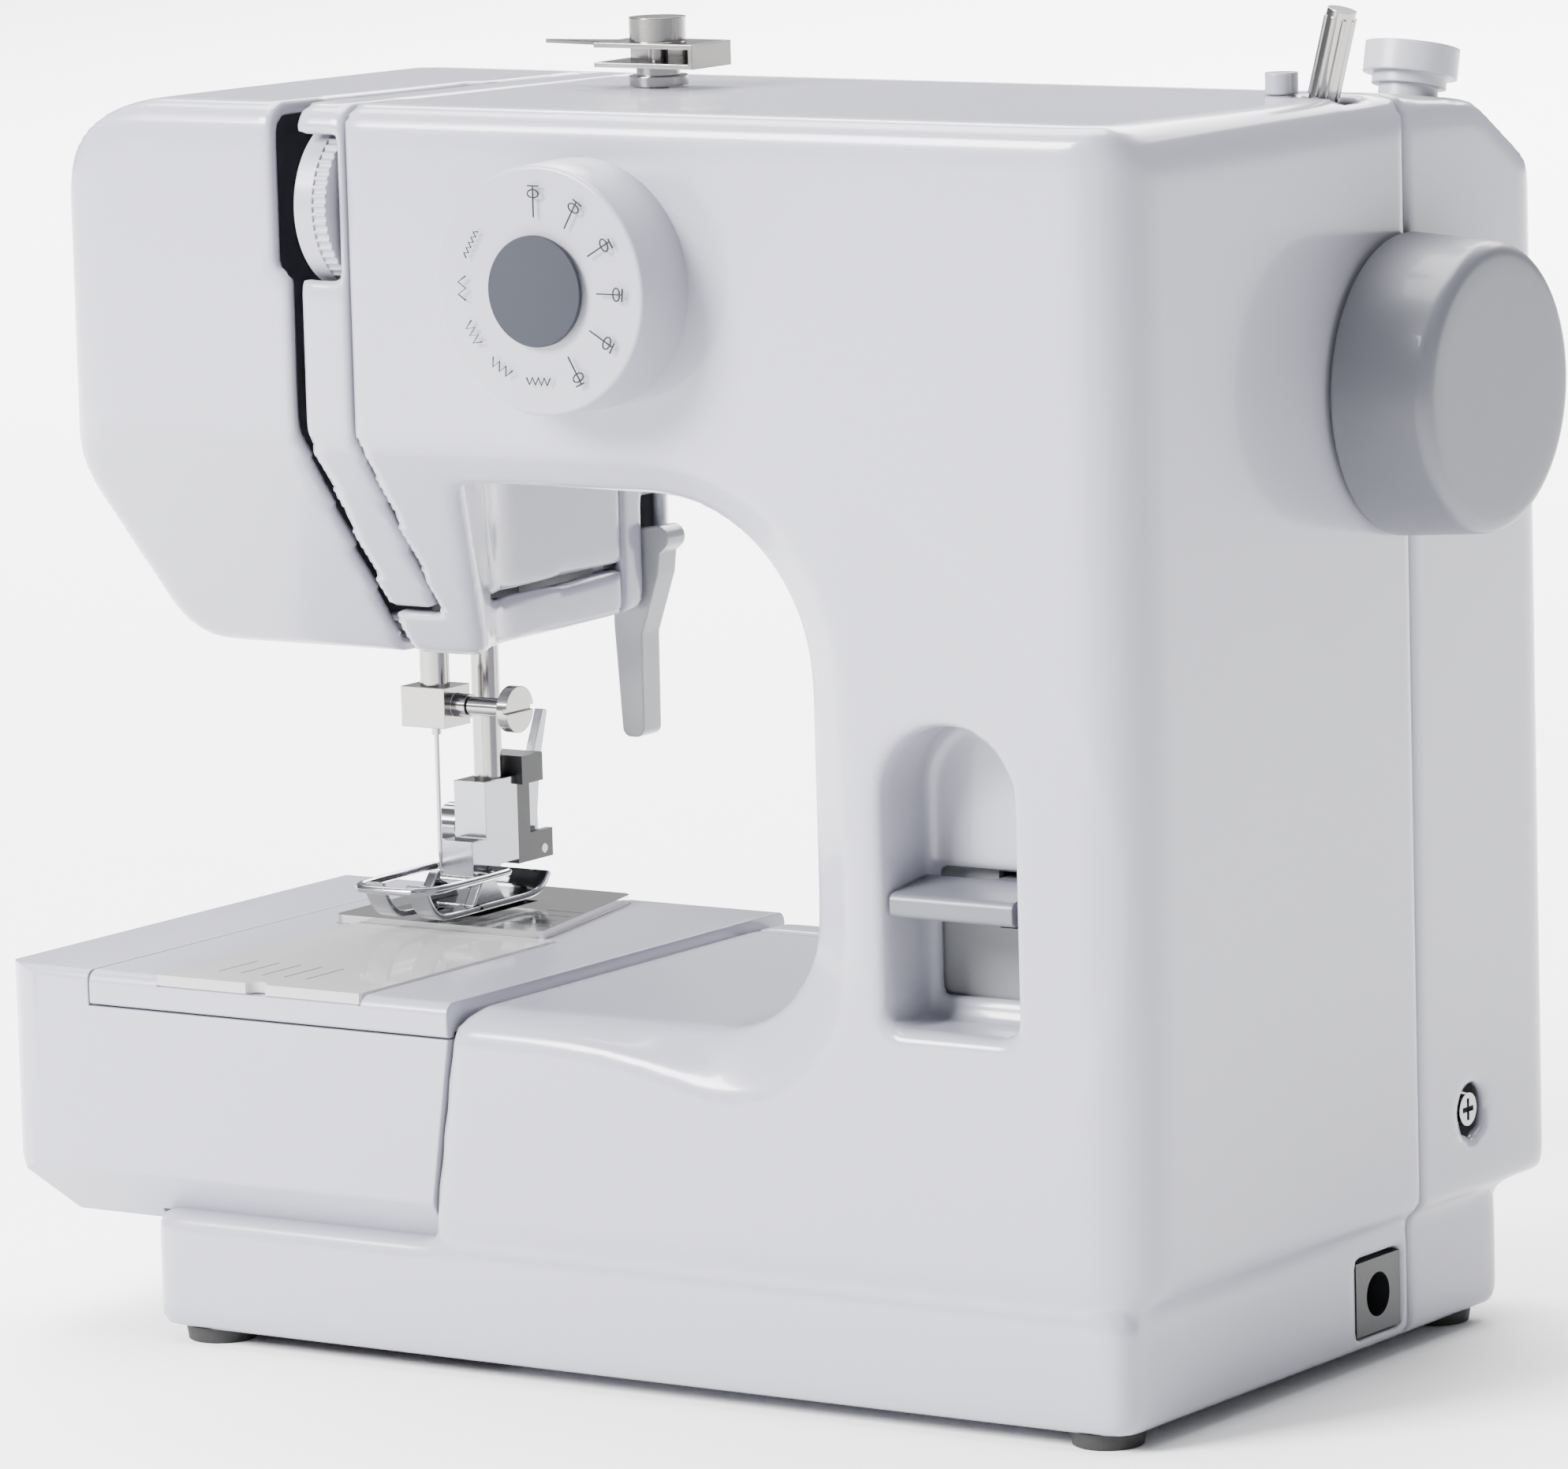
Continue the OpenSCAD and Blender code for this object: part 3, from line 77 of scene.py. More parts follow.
# --- The housing's own sizes, in millimetres -------------------------------------

column_width = 78
arm_height = 75.5
plinth_height = 24
throat = side - column_width                # right side of the throat
arm_bottom = top - arm_height
plinth_top = foot_top + plinth_height
plinth_right = side - 3.5
plinth_back = front + 147
root_left = bed_right + 1.4                 # where the housing meets the bed
root_back = front + 121.5
root_top = bed_top - 1.5
head_right = needle_x + 62                  # right side of the head at its front
head_back = front + 137
crease = arm_bottom + 9                     # where the front starts to lean back
lean_back = front + 45                      # front of the head's underside
lean_run = 45 / (crease - head_bottom)      # how far the front leans back per millimetre
recess_right = side - 27.5                  # arched recess of the reverse lever
recess_left = recess_right - 30


# --- Materials -------------------------------------------------------------------

def material(name, color, rough, metal=0.0, coat=0.0, noise_scale=900.0, bump=0.02, mottling=0.03,
             bevel=0.0, transmission=0.0, ior=1.5, brushed=False):
    """A principled material with slight colour variation, uneven gloss and fine bump, all procedural."""
    mat = bpy.data.materials.new(name)
    mat.use_nodes = True
    tree = mat.node_tree
    shader = tree.nodes["Principled BSDF"]
    coords = tree.nodes.new("ShaderNodeTexCoord")
    fine = tree.nodes.new("ShaderNodeTexNoise")
    fine.inputs["Scale"].default_value = noise_scale
    fine.inputs["Detail"].default_value = 3.0
    broad = tree.nodes.new("ShaderNodeTexNoise")
    broad.inputs["Scale"].default_value = 14.0
    broad.inputs["Detail"].default_value = 4.0
    tree.links.new(coords.outputs["Object"], broad.inputs["Vector"])
    if brushed:
        stretch = tree.nodes.new("ShaderNodeMapping")
        stretch.inputs["Scale"].default_value = (0.04, 1.0, 1.0)
        tree.links.new(coords.outputs["Object"], stretch.inputs["Vector"])
        tree.links.new(stretch.outputs["Vector"], fine.inputs["Vector"])
    else:
        tree.links.new(coords.outputs["Object"], fine.inputs["Vector"])
    tone = tree.nodes.new("ShaderNodeMixRGB")
    tone.inputs["Color1"].default_value = (*[c * (1 - mottling) for c in color], 1)
    tone.inputs["Color2"].default_value = (*[min(1, c * (1 + mottling)) for c in color], 1)
    tree.links.new(broad.outputs["Fac"], tone.inputs["Fac"])
    tree.links.new(tone.outputs["Color"], shader.inputs["Base Color"])
    gloss = tree.nodes.new("ShaderNodeMapRange")
    gloss.inputs["To Min"].default_value = max(0.02, rough * 0.92)
    gloss.inputs["To Max"].default_value = rough * 1.08
    tree.links.new(broad.outputs["Fac"], gloss.inputs["Value"])
    tree.links.new(gloss.outputs["Result"], shader.inputs["Roughness"])
    relief = tree.nodes.new("ShaderNodeBump")
    relief.inputs["Strength"].default_value = bump
    relief.inputs["Distance"].default_value = 0.0004
    tree.links.new(fine.outputs["Fac"], relief.inputs["Height"])
    if bevel:
        soft = tree.nodes.new("ShaderNodeBevel")
        soft.samples = 6
        soft.inputs["Radius"].default_value = bevel
        tree.links.new(soft.outputs["Normal"], relief.inputs["Normal"])
    tree.links.new(relief.outputs["Normal"], shader.inputs["Normal"])
    shader.inputs["Metallic"].default_value = metal
    shader.inputs["Coat Weight"].default_value = coat
    shader.inputs["Coat Roughness"].default_value = 0.06
    shader.inputs["Transmission Weight"].default_value = transmission
    shader.inputs["IOR"].default_value = ior
    return mat


MATERIALS = {
    "shell": material("white_shell", (0.315, 0.315, 0.368), 0.24, coat=0.3, bevel=0.0008,
                      mottling=0.008, bump=0.006),
    "spool_plastic": material("white_spool", (0.38, 0.38, 0.42), 0.34, bevel=0.0006,
                              mottling=0.02, bump=0.02),
    "dial": material("white_dial", (0.31, 0.31, 0.36), 0.3, coat=0.1, bevel=0.0006,
                     mottling=0.01, bump=0.01),
    "dial_cap": material("slate_cap", (0.012, 0.015, 0.024), 0.8, bump=0.03, noise_scale=1500),
    "rubber": material("black_rubber", (0.012, 0.012, 0.012), 0.7, bump=0.15, noise_scale=1300),
    "plate_steel": material("polished_plate", (0.78, 0.77, 0.77), 0.1, metal=1, bump=0.05, brushed=True),
    "clear_cover": material("clear_plastic", (0.80, 0.79, 0.79), 0.07, transmission=0.55,
                            ior=1.4, bump=0.004),
    "casting": material("grey_casting", (0.25, 0.255, 0.265), 0.55, metal=0.6, bump=0.25, noise_scale=600),
    "shaft_steel": material("ground_steel", (0.55, 0.55, 0.57), 0.25, metal=1, bump=0.04, brushed=True),
    "bush_brass": material("turned_brass", (0.60, 0.42, 0.18), 0.3, metal=1, bump=0.04),
    "grey_plastic": material("grey_plastic", (0.105, 0.107, 0.128), 0.4, coat=0.12, bevel=0.0006,
                             bump=0.02, mottling=0.02),
    "black_plastic": material("black_plastic", (0.012, 0.012, 0.014), 0.38, bump=0.06, noise_scale=1200),
    "belt": material("black_belt", (0.02, 0.02, 0.02), 0.65, bump=0.2, noise_scale=800),
    "motor_case": material("motor_paint", (0.10, 0.105, 0.115), 0.45, metal=0.4, bump=0.1),
    "gear_plastic": material("cream_gear", (0.68, 0.63, 0.48), 0.45, bump=0.05),
    "bobbin_plastic": material("clear_bobbin", (0.85, 0.88, 0.92), 0.08, transmission=0.9,
                               ior=1.45, bump=0.01),
    "bar_chrome": material("bar_chrome", (0.33, 0.32, 0.31), 0.16, metal=1, bevel=0.0003,
                           bump=0.01, mottling=0.05),
    "needle_steel": material("needle_steel", (0.42, 0.41, 0.41), 0.2, metal=1, bump=0.02, brushed=True),
    "foot_chrome": material("foot_chrome", (0.30, 0.305, 0.32), 0.14, metal=1, bevel=0.0003,
                            bump=0.015, mottling=0.06),
    "wire_chrome": material("wire_chrome", (0.33, 0.33, 0.345), 0.14, metal=1, bump=0.01, mottling=0.05),
    "lever_metal": material("painted_lever", (0.30, 0.305, 0.32), 0.3, coat=0.2, bevel=0.0008, bump=0.02),
    "window_plate": material("window_plate", (0.15, 0.155, 0.165), 0.45, bump=0.04),
    "lamp_cover": material("lamp_cover", (0.85, 0.85, 0.8), 0.3, bump=0.02),
    "screw_steel": material("plated_screw", (0.32, 0.32, 0.33), 0.22, metal=1, bump=0.03, bevel=0.0002),
}
INK = material("grey_ink", (0.01, 0.011, 0.014), 0.8, bump=0.02)
INK_WIDTH = 0.32                            # width of a printed line, in millimetres
for node, obj in NODES.items():
    obj.data.materials.clear()
    obj.data.materials.append(MATERIALS[SLOT_OF[node]])


# --- Mesh helpers ------------------------------------------------------------------

def smooth_copy(node):
    """A finished copy of a CAD node, on which the facets of curved faces are smoothed."""
    sharp = math.radians(34)
    mesh = NODES[node].data.copy()
    bm = bmesh.new()
    bm.from_mesh(mesh)
    bmesh.ops.remove_doubles(bm, verts=bm.verts, dist=2e-6)
    bmesh.ops.dissolve_limit(bm, angle_limit=math.radians(0.4), verts=bm.verts, edges=bm.edges)
    for face in bm.faces:
        face.smooth = True
    for edge in bm.edges:
        edge.smooth = edge.is_manifold and edge.calc_face_angle(0) < sharp
    bm.to_mesh(mesh)
    bm.free()
    obj = bpy.data.objects.new(node + "_finished", mesh)
    bpy.context.scene.collection.objects.link(obj)
    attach(obj, BODY_OF[node])
    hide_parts(node)


# --- Moulded forms ---------------------------------------------------------------
# The housing is a distance field in millimetres: rounded outlines seen along each axis are
# intersected and joined on a grid, softened a little, hollowed, cut apart and turned into meshes.

def corner(a, b, c, radius, steps=10):
    """Points of one rounded corner at b, between the sides from a and to c."""
    a, b, c = np.array(a, float), np.array(b, float), np.array(c, float)
    if radius <= 0:
        return [b]
    to_a = (a - b) / np.linalg.norm(a - b)
    to_c = (c - b) / np.linalg.norm(c - b)
    half = math.acos(np.clip(to_a @ to_c, -1, 1)) / 2
    middle = (to_a + to_c) / np.linalg.norm(to_a + to_c)
    centre = b + middle * radius / math.sin(half)
    start = b + to_a * radius / math.tan(half) - centre
    end = b + to_c * radius / math.tan(half) - centre
    first = math.atan2(start[1], start[0])
    sweep = (math.atan2(end[1], end[0]) - first + math.pi) % (2 * math.pi) - math.pi
    angles = [first + sweep * i / steps for i in range(steps + 1)]
    return [centre + radius * np.array((math.cos(t), math.sin(t))) for t in angles]


def outline(points):
    """Closed outline through (u, v, corner radius) points."""
    n = len(points)
    found = []
    for i, (u, v, radius) in enumerate(points):
        found += corner(points[i - 1][:2], (u, v), points[(i + 1) % n][:2], radius)
    return np.array(found)


def outline_distance(points, u, v):
    """Signed distance from a grid of (u, v) to a closed outline, negative inside."""
    path = outline(points)
    grid_u, grid_v = np.meshgrid(u, v, indexing="ij")
    nearest = np.full(grid_u.shape, 1e9)
    inside = np.zeros(grid_u.shape, bool)
    for (u0, v0), (u1, v1) in zip(path, np.roll(path, -1, 0)):
        du, dv = u1 - u0, v1 - v0
        length = du * du + dv * dv
        if length < 1e-12:
            continue
        t = np.clip(((grid_u - u0) * du + (grid_v - v0) * dv) / length, 0, 1)
        nearest = np.minimum(nearest, (grid_u - u0 - t * du) ** 2 + (grid_v - v0 - t * dv) ** 2)
        if v0 != v1:
            crosses = (v0 > grid_v) != (v1 > grid_v)
            inside ^= crosses & (grid_u < u0 + (grid_v - v0) * du / dv)
    return np.where(inside, -1, 1) * np.sqrt(nearest)


def smoothstep(low, high, value):
    """Smooth rise from 0 at low to 1 at high."""
    t = np.clip((value - low) / (high - low), 0, 1)
    return t * t * (3 - 2 * t)


class Grid:
    """A block of space on which distance fields are sampled."""

    def __init__(self, low, high, step):
        self.step = step
        self.low = np.array(low, float) - 2.5 * step
        counts = np.ceil((np.array(high) + 2.5 * step - self.low) / step).astype(int) + 1
        self.x, self.y, self.z = (self.low[i] + step * np.arange(counts[i]) for i in range(3))
        self.X, self.Y, self.Z = self.x[:, None, None], self.y[None, :, None], self.z[None, None, :]

    def seen_along_x(self, points):
        return outline_distance(points, self.y, self.z)[None, :, :]

    def seen_along_y(self, points):
        return outline_distance(points, self.x, self.z)[:, None, :]

    def seen_along_z(self, points):
        return outline_distance(points, self.x, self.y)[:, :, None]

    def box(self, low, high):
        field = np.maximum(low[0] - self.X, self.X - high[0])
        field = np.maximum(field, np.maximum(low[1] - self.Y, self.Y - high[1]))
        return np.maximum(field, np.maximum(low[2] - self.Z, self.Z - high[2]))

    def rod(self, axis, u, v, radius, low, high):
        """A round rod along an axis, centred at (u, v) on the other two, in X, Y, Z order."""
        first, second = [c for i, c in enumerate((self.X, self.Y, self.Z)) if i != axis]
        along = (self.X, self.Y, self.Z)[axis]
        round_part = np.sqrt((first - u) ** 2 + (second - v) ** 2) - radius
        return np.maximum(round_part, np.maximum(low - along, along - high))

    def mesh(self, name, field):
        """Surface net of the field: one vertex in each crossed cell, one quad on each crossed edge."""
        field = np.broadcast_to(field, (len(self.x), len(self.y), len(self.z))).astype(np.float32).copy()
        for end in (0, -1):
            field[end] = 9
            field[:, end] = 9
            field[:, :, end] = 9
        cells = np.array(field.shape) - 1
        total = np.zeros((3, cells.prod()))
        count = np.zeros(cells.prod())
        quads = []
        for axes in ((0, 1, 2), (1, 2, 0), (2, 0, 1)):
            values = field.transpose(axes)
            i, j, k = np.nonzero((values[:-1] < 0) != (values[1:] < 0))
            before, after = values[i, j, k], values[i + 1, j, k]
            crossing = np.empty((len(i), 3))
            crossing[:, axes[0]] = i + before / (before - after)
            crossing[:, axes[1]] = j
            crossing[:, axes[2]] = k
            around = []
            for dj, dk in ((-1, -1), (0, -1), (0, 0), (-1, 0)):
                cell = np.empty((len(i), 3), int)
                cell[:, axes[0]] = i
                cell[:, axes[1]] = j + dj
                cell[:, axes[2]] = k + dk
                index = (cell[:, 0] * cells[1] + cell[:, 1]) * cells[2] + cell[:, 2]
                around.append(index)
                count += np.bincount(index, minlength=len(count))
                for c in range(3):
                    total[c] += np.bincount(index, crossing[:, c], len(count))
            around = np.stack(around, 1)
            around[before >= 0] = around[before >= 0][:, ::-1]
            quads.append(around)
        used = np.nonzero(count)[0]
        number = np.zeros(len(count), int)
        number[used] = np.arange(len(used))
        places = (total[:, used] / count[used]).T * self.step + self.low
        faces = number[np.concatenate(quads)]
        mesh = bpy.data.meshes.new(name)
        mesh.from_pydata((places * MM).tolist(), [], faces.tolist())
        mesh.polygons.foreach_set("use_smooth", np.ones(len(faces), bool))
        mesh.update()
        return mesh


def soften(field, passes):
    """Rounds edges and leaves flat faces where they are, by averaging with the neighbours."""
    for _ in range(passes):
        for axis in range(3):
            padded = np.pad(field, [(1, 1) if a == axis else (0, 0) for a in range(3)], mode="edge")
            moved = np.moveaxis(padded, axis, 0)
            field = np.moveaxis((moved[:-2] + 2 * moved[1:-1] + moved[2:]) / 4, 0, axis)
    return field


def add_piece(name, mesh, node):
    """A finished piece that stands for a CAD node, with its material and body."""
    obj = bpy.data.objects.new(name, mesh)
    bpy.context.scene.collection.objects.link(obj)
    obj.data.materials.clear()
    obj.data.materials.append(MATERIALS[SLOT_OF[node]])
    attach(obj, BODY_OF[node])
    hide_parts(node)
    return obj


def housing_field(g):
    """The housing's outer form."""
    crown = 2.3 * ((g.Y - front) / (split - front)) ** 2 * smoothstep(arm_bottom + 20, top - 5, g.Z)
    crown = np.where(g.Y < split, crown, 0)
    c_shape = g.seen_along_y([
        (head_left, arm_bottom, 0), (head_left, top, 30), (side, top, 9), (side, plinth_top + 1, 3),
        (root_left - 7.6, plinth_top + 1, 0), (root_left - 0.6, root_top, 2), (throat, root_top, 24),
        (throat, arm_bottom, 36)])
    plan = g.seen_along_z([
        (head_left, front, 16), (side, front, 13), (side, back, 9), (head_left, back, 20)])
    upper = [(front, top, 5), (split, top - 2.3, 60), (back - 26, top - 6, 8), (back, top - 22.5, 10)]
    column_side = g.seen_along_x([
        (front, plinth_top - 9, 0), *upper, (back, plinth_top + 1, 3),
        (front + 30, plinth_top + 1, 0), (front + 30, plinth_top - 9, 0)])
    column = np.maximum(column_side, throat - g.X)
    arm = g.seen_along_x([
        (front, arm_bottom - 40, 0), *upper, (back, arm_bottom + 14, 6),
        (back - 24, arm_bottom, 3), (back - 24, arm_bottom - 40, 0)])
    root_side = g.seen_along_x([
        (front, plinth_top - 5, 0), (front, root_top, 6), (root_back, root_top, 5),
        (root_back, plinth_top - 5, 0)])
    root = np.maximum(root_side, g.X - throat - 10)
    root_corner = g.box((throat - 24, front, bed_top - 6), (throat + 10, root_back, bed_top + 26))
    depths = np.minimum(np.minimum(column, arm), np.minimum(root, root_corner))
    body = np.maximum(np.maximum(c_shape, plan), depths)
    # the face flares away from the throat, steeply over the bed and gently beside it
    opening = g.seen_along_y([
        (head_left - 90, arm_bottom, 0), (head_left - 90, root_top, 0), (throat, root_top, 24),
        (throat, arm_bottom, 36)])
    over = crease - arm_bottom + 3 * smoothstep(throat - 36, throat, g.X)
    under = 3 + 11 * smoothstep(root_left, throat, g.X) ** 2
    reach = under + (over - under) * smoothstep(bed_top + 14, arm_bottom - 30, g.Z)
    flare_depth = (crease - arm_bottom) * lean_run
    flare = opening - reach * (1 - (g.Y - front) / flare_depth)
    flare = flare / np.sqrt(1 + (reach / flare_depth) ** 2)
    body = np.maximum(body, -flare)
    # the head below the arm: leaning front, curved right flank
    head_side = g.seen_along_x([
        (front, crease, 0), (lean_back, head_bottom, 6), (head_back, head_bottom, 7),
        (head_back, crease, 0)])
    head_plan = g.seen_along_z([
        (head_left, front, 16), (head_right, front, 0), (needle_x + 29, front + 58, 34),
        (needle_x + 27, split, 0), (needle_x + 25, head_back, 16), (head_left, head_back, 20)])
    head_front = g.seen_along_y([
        (head_left, head_bottom, 9), (head_right, head_bottom, 0), (head_right, arm_bottom + 20, 0),
        (head_left, arm_bottom + 20, 0)])
    head = np.maximum(np.maximum(head_side, head_plan), head_front)
    plinth_plan = g.seen_along_z([
        (plinth_left, front, 6), (plinth_right, front, 5), (plinth_right, plinth_back, 6),
        (plinth_left, plinth_back, 6)])
    plinth = np.maximum(plinth_plan, np.maximum(foot_top - g.Z, g.Z - plinth_top))
    return np.minimum(np.minimum(body, head), plinth)


def arched_line(g, outer):
    """The front with the shallow step of an arched panel line in it."""
    centre_x, centre_z, radius = throat - 7, bed_top + 30, 79.7
    panel = np.sqrt((g.X - centre_x) ** 2 + (g.Z - centre_z) ** 2) - radius
    shown = smoothstep(front + 6, front + 1, g.Y) * smoothstep(throat + 13, throat + 30, g.X)
    shown = shown * smoothstep(plinth_top + 20, plinth_top + 44, g.Z)
    return outer + 0.4 * smoothstep(1.6, -1.6, panel) * shown


def reverse_recess(g):
    """The arched recess for the reverse lever, with a rounded mouth."""
    low, high = bed_top + 3, bed_top + 63
    arch = g.seen_along_y([
        (recess_left, low, 4), (recess_right, low, 4), (recess_right, high, 14.6),
        (recess_left, high, 14.6)])
    mouth = 2.2 * smoothstep(front + 2.6, front - 0.4, g.Y) ** 2
    return np.maximum(arch - mouth, g.Y - front - 18)


def cut_holes(g, hollow):
    """The hollow form with its underside open and every hole in its wall."""
    (lifter_x0, lifter_y0, _), (lifter_x1, lifter_y1, _) = node_box("lifter_lever")
    under, over = head_bottom - 6, head_bottom + 8
    blocks = (
        # underside, needle and presser bars, lamp, lifter lever
        ((root_left + 6, front + 6, 0), (plinth_right - 6, front + 140, plinth_top + 8)),
        ((needle_x - 9, needle_y - 8, under), (needle_x + 9, needle_y + 27, over)),
        ((needle_x - 32, needle_y - 13, under), (needle_x - 16, needle_y + 1, over)),
        ((lifter_x0 - 3, lifter_y0 - 1, under), (lifter_x1 + 4, lifter_y1 + 1, over + 16)),
        # window of the reverse lever, winder slot, power socket
        ((recess_left + 1.5, front + 16, bed_top + 7.5), (recess_right - 3, front + 24, bed_top + 32.5)),
        ((side - 16, front + 88, top - 14), (side - 4, front + 98, top + 5)),
        ((plinth_right - 8, front + 86.5, foot_top + 3), (side + 5, front + 104.5, foot_top + 19)))
    for low, high in blocks:
        hollow = np.maximum(hollow, -g.box(low, high))
    # main shaft, side screw, spindle of the stitch dial
    hollow = np.maximum(hollow, -g.rod(0, split - 3, top - 59.5, 7, side - 10, side + 9))
    hollow = np.maximum(hollow, -g.rod(0, front + 128, foot_top + 43, 5.6, side - 12, side + 9))
    return np.maximum(hollow, -g.rod(1, dial_x, dial_z, 7, front - 9, front + 9))


def make_housing(step):
    """Front and rear shells, face cover and tension strip, cut from one hollow form."""
    g = Grid((head_left, front, foot_top), (side, back, top), step)
    outer = arched_line(g, soften(housing_field(g), 2))
    outer = np.maximum(outer, -reverse_recess(g))
    wall = max(2.6, 1.85 * step)            # a thinner wall would show the grid
    hollow = cut_holes(g, np.maximum(outer, -(outer + wall)))
    # slots beside the tension strip run down the head and lean with it
    shift = 8 * np.clip((crease - g.Z) / 50.5, 0, 1)
    slot_left = needle_x + 22.5 - shift
    strip_left = needle_x + 25 - shift
    strip_right = needle_x + 36.7 - shift
    wider_above = smoothstep(top - 36, top - 32, g.Z) * smoothstep(split - 34, split - 40, g.Y)
    slot_left = slot_left - 3.5 * wider_above
    strip_end = head_bottom + 10.5
    ahead = g.Y - split
    cover = np.maximum(np.maximum(hollow, g.X - slot_left), ahead)
    strip = np.maximum(np.maximum(hollow, ahead), np.maximum(strip_left - g.X, g.X - strip_right))
    strip = np.maximum(strip, strip_end + 0.8 - g.Z)
    (wheel_x0, _, wheel_z0), (wheel_x1, _, wheel_z1) = node_box("tension_wheel")
    window = g.box((wheel_x0 - 0.8, front - 5, wheel_z0 + 3), (wheel_x1 + 0.8, front + 14, wheel_z1 - 3))
    strip = np.maximum(strip, -window)
    under_strip = np.maximum(strip_left - g.X, g.Z - strip_end)
    right_of_slots = np.minimum(strip_right + 0.7 - g.X, under_strip)
    below_head = g.Z - (head_bottom - 8)
    cover = np.maximum(cover, -below_head)
    front_piece = np.maximum(np.maximum(hollow, ahead), np.minimum(right_of_slots, below_head))
    rear_piece = np.maximum(hollow, split + 0.4 - g.Y)
    for i in range(8):
        louvre = side - 74 + i * 7
        slit = g.box((louvre, back - 10, plinth_top + 20), (louvre + 3.6, back + 9, plinth_top + 54))
        rear_piece = np.maximum(rear_piece, -slit)
    add_piece("front_housing", g.mesh("front_housing", front_piece), "front_shell")
    add_piece("rear_housing", g.mesh("rear_housing", rear_piece), "rear_shell")
    add_piece("face_cover_shell", g.mesh("face_cover_shell", cover), "face_cover")
    add_piece("tension_strip", g.mesh("tension_strip", strip), "tension_panel")


# --- Small pieces -------------------------------------------------------------------

def mesh_piece(name, node, vertices, faces, smooth=True):
    """A piece from vertices in millimetres; it stands for the CAD node."""
    mesh = bpy.data.meshes.new(name)
    mesh.from_pydata([Vector(v) * MM for v in vertices], [], faces)
    for face in mesh.polygons:
        face.use_smooth = smooth
    mesh.update()
    return add_piece(name, mesh, node)


def lathe(profile, turns):
    """Closed surface from (radius, height) points turned about Z; the ends lie on the axis."""
    vertices, faces = [(0, 0, profile[0][1])], []
    rings = profile[1:-1]
    for radius, height in rings:
        for i in range(turns):
            a = 2 * math.pi * i / turns
            vertices.append((radius * math.cos(a), radius * math.sin(a), height))
    last = len(vertices)
    vertices.append((0, 0, profile[-1][1]))
    for i in range(turns):
        j = (i + 1) % turns
        faces.append((0, 1 + j, 1 + i))
        for k in range(len(rings) - 1):
            ring = 1 + k * turns
            faces.append((ring + i, ring + j, ring + turns + j, ring + turns + i))
        faces.append((last, last - turns + i, last - turns + j))
    return vertices, faces


def rounded_profile(points, steps=5):
    """Profile through (radius, height, corner radius) points; a zero corner stays sharp."""
    found = []
    for i, (u, v, bend) in enumerate(points):
        if bend and 0 < i < len(points) - 1:
            found += [tuple(q) for q in corner(points[i - 1][:2], (u, v), points[i + 1][:2], bend, steps)]
        else:
            found.append((u, v))
    return found


def facing_right(vertices, centre):
    """Lathe vertices with their axis laid along X, at a centre in mm."""
    return [(centre[0] + z, centre[1] + x, centre[2] + y) for x, y, z in vertices]


def facing_front(vertices, centre):
    """Lathe vertices with their axis laid towards the front, at a centre in mm."""
    return [(centre[0] + x, centre[1] - z, centre[2] + y) for x, y, z in vertices]


def curve_tube(points, radius, sides):
    """Round tube of even thickness along points in mm."""
    points = [Vector(p) for p in points]
    n = len(points)
    vertices, faces = [], []
    normal = None
    for i, point in enumerate(points):
        along = (points[min(i + 1, n - 1)] - points[max(i - 1, 0)]).normalized()
        if normal is None:
            normal = along.orthogonal().normalized()
        normal = (normal - along * normal.dot(along)).normalized()
        across = along.cross(normal)
        for k in range(sides):
            a = 2 * math.pi * k / sides
            vertices.append(point + radius * (math.cos(a) * normal + math.sin(a) * across))
    for i in range(n - 1):
        for k in range(sides):
            m = (k + 1) % sides
            faces.append((i * sides + k, i * sides + m, (i + 1) * sides + m, (i + 1) * sides + k))
    faces.append(tuple(range(sides))[::-1])
    faces.append(tuple((n - 1) * sides + k for k in range(sides)))
    return vertices, faces


def spline(points, steps=6):
    """Smooth curve through the points."""
    points = [Vector(p) for p in points]
    found = []
    for i in range(len(points) - 1):
        p0 = points[max(i - 1, 0)]
        p1 = points[i]
        p2 = points[i + 1]
        p3 = points[min(i + 2, len(points) - 1)]
        for k in range(steps):
            t = k / steps
            found.append(0.5 * (2 * p1 + (p2 - p0) * t + (2 * p0 - 5 * p1 + 4 * p2 - p3) * t ** 2
                                + (3 * p1 - p0 - 3 * p2 + p3) * t ** 3))
    return found + [points[-1]]


def join(*parts):
    """One list of vertices and faces from several."""
    vertices, faces = [], []
    for part_vertices, part_faces in parts:
        start = len(vertices)
        vertices += [tuple(v) for v in part_vertices]
        faces += [tuple(start + i for i in face) for face in part_faces]
    return vertices, faces


def swept(points, half_width, thickness):
    """Strip of even thickness that follows points in a plane across X."""
    across = Vector((1, 0, 0))
    vertices, faces = [], []
    for i, point in enumerate(points):
        along = (points[min(i + 1, len(points) - 1)] - points[max(i - 1, 0)]).normalized()
        up = across.cross(along).normalized()
        for s, t in ((-1, -0.5), (1, -0.5), (1, 0.5), (-1, 0.5)):
            vertices.append(point + across * s * half_width + up * t * thickness)
    for i in range(len(points) - 1):
        for k in range(4):
            m = (k + 1) % 4
            faces.append((4 * i + k, 4 * i + m, 4 * i + 4 + m, 4 * i + 4 + k))
    faces += [(3, 2, 1, 0), tuple(4 * (len(points) - 1) + k for k in range(4))]
    return vertices, faces


def slab(low, high):
    """Vertices and faces of a box in mm."""
    ends = list(zip(low, high))
    vertices = [(x, y, z) for x in ends[0] for y in ends[1] for z in ends[2]]
    faces = [(0, 1, 3, 2), (4, 6, 7, 5), (0, 4, 5, 1), (2, 3, 7, 6), (0, 2, 6, 4), (1, 5, 7, 3)]
    return vertices, faces


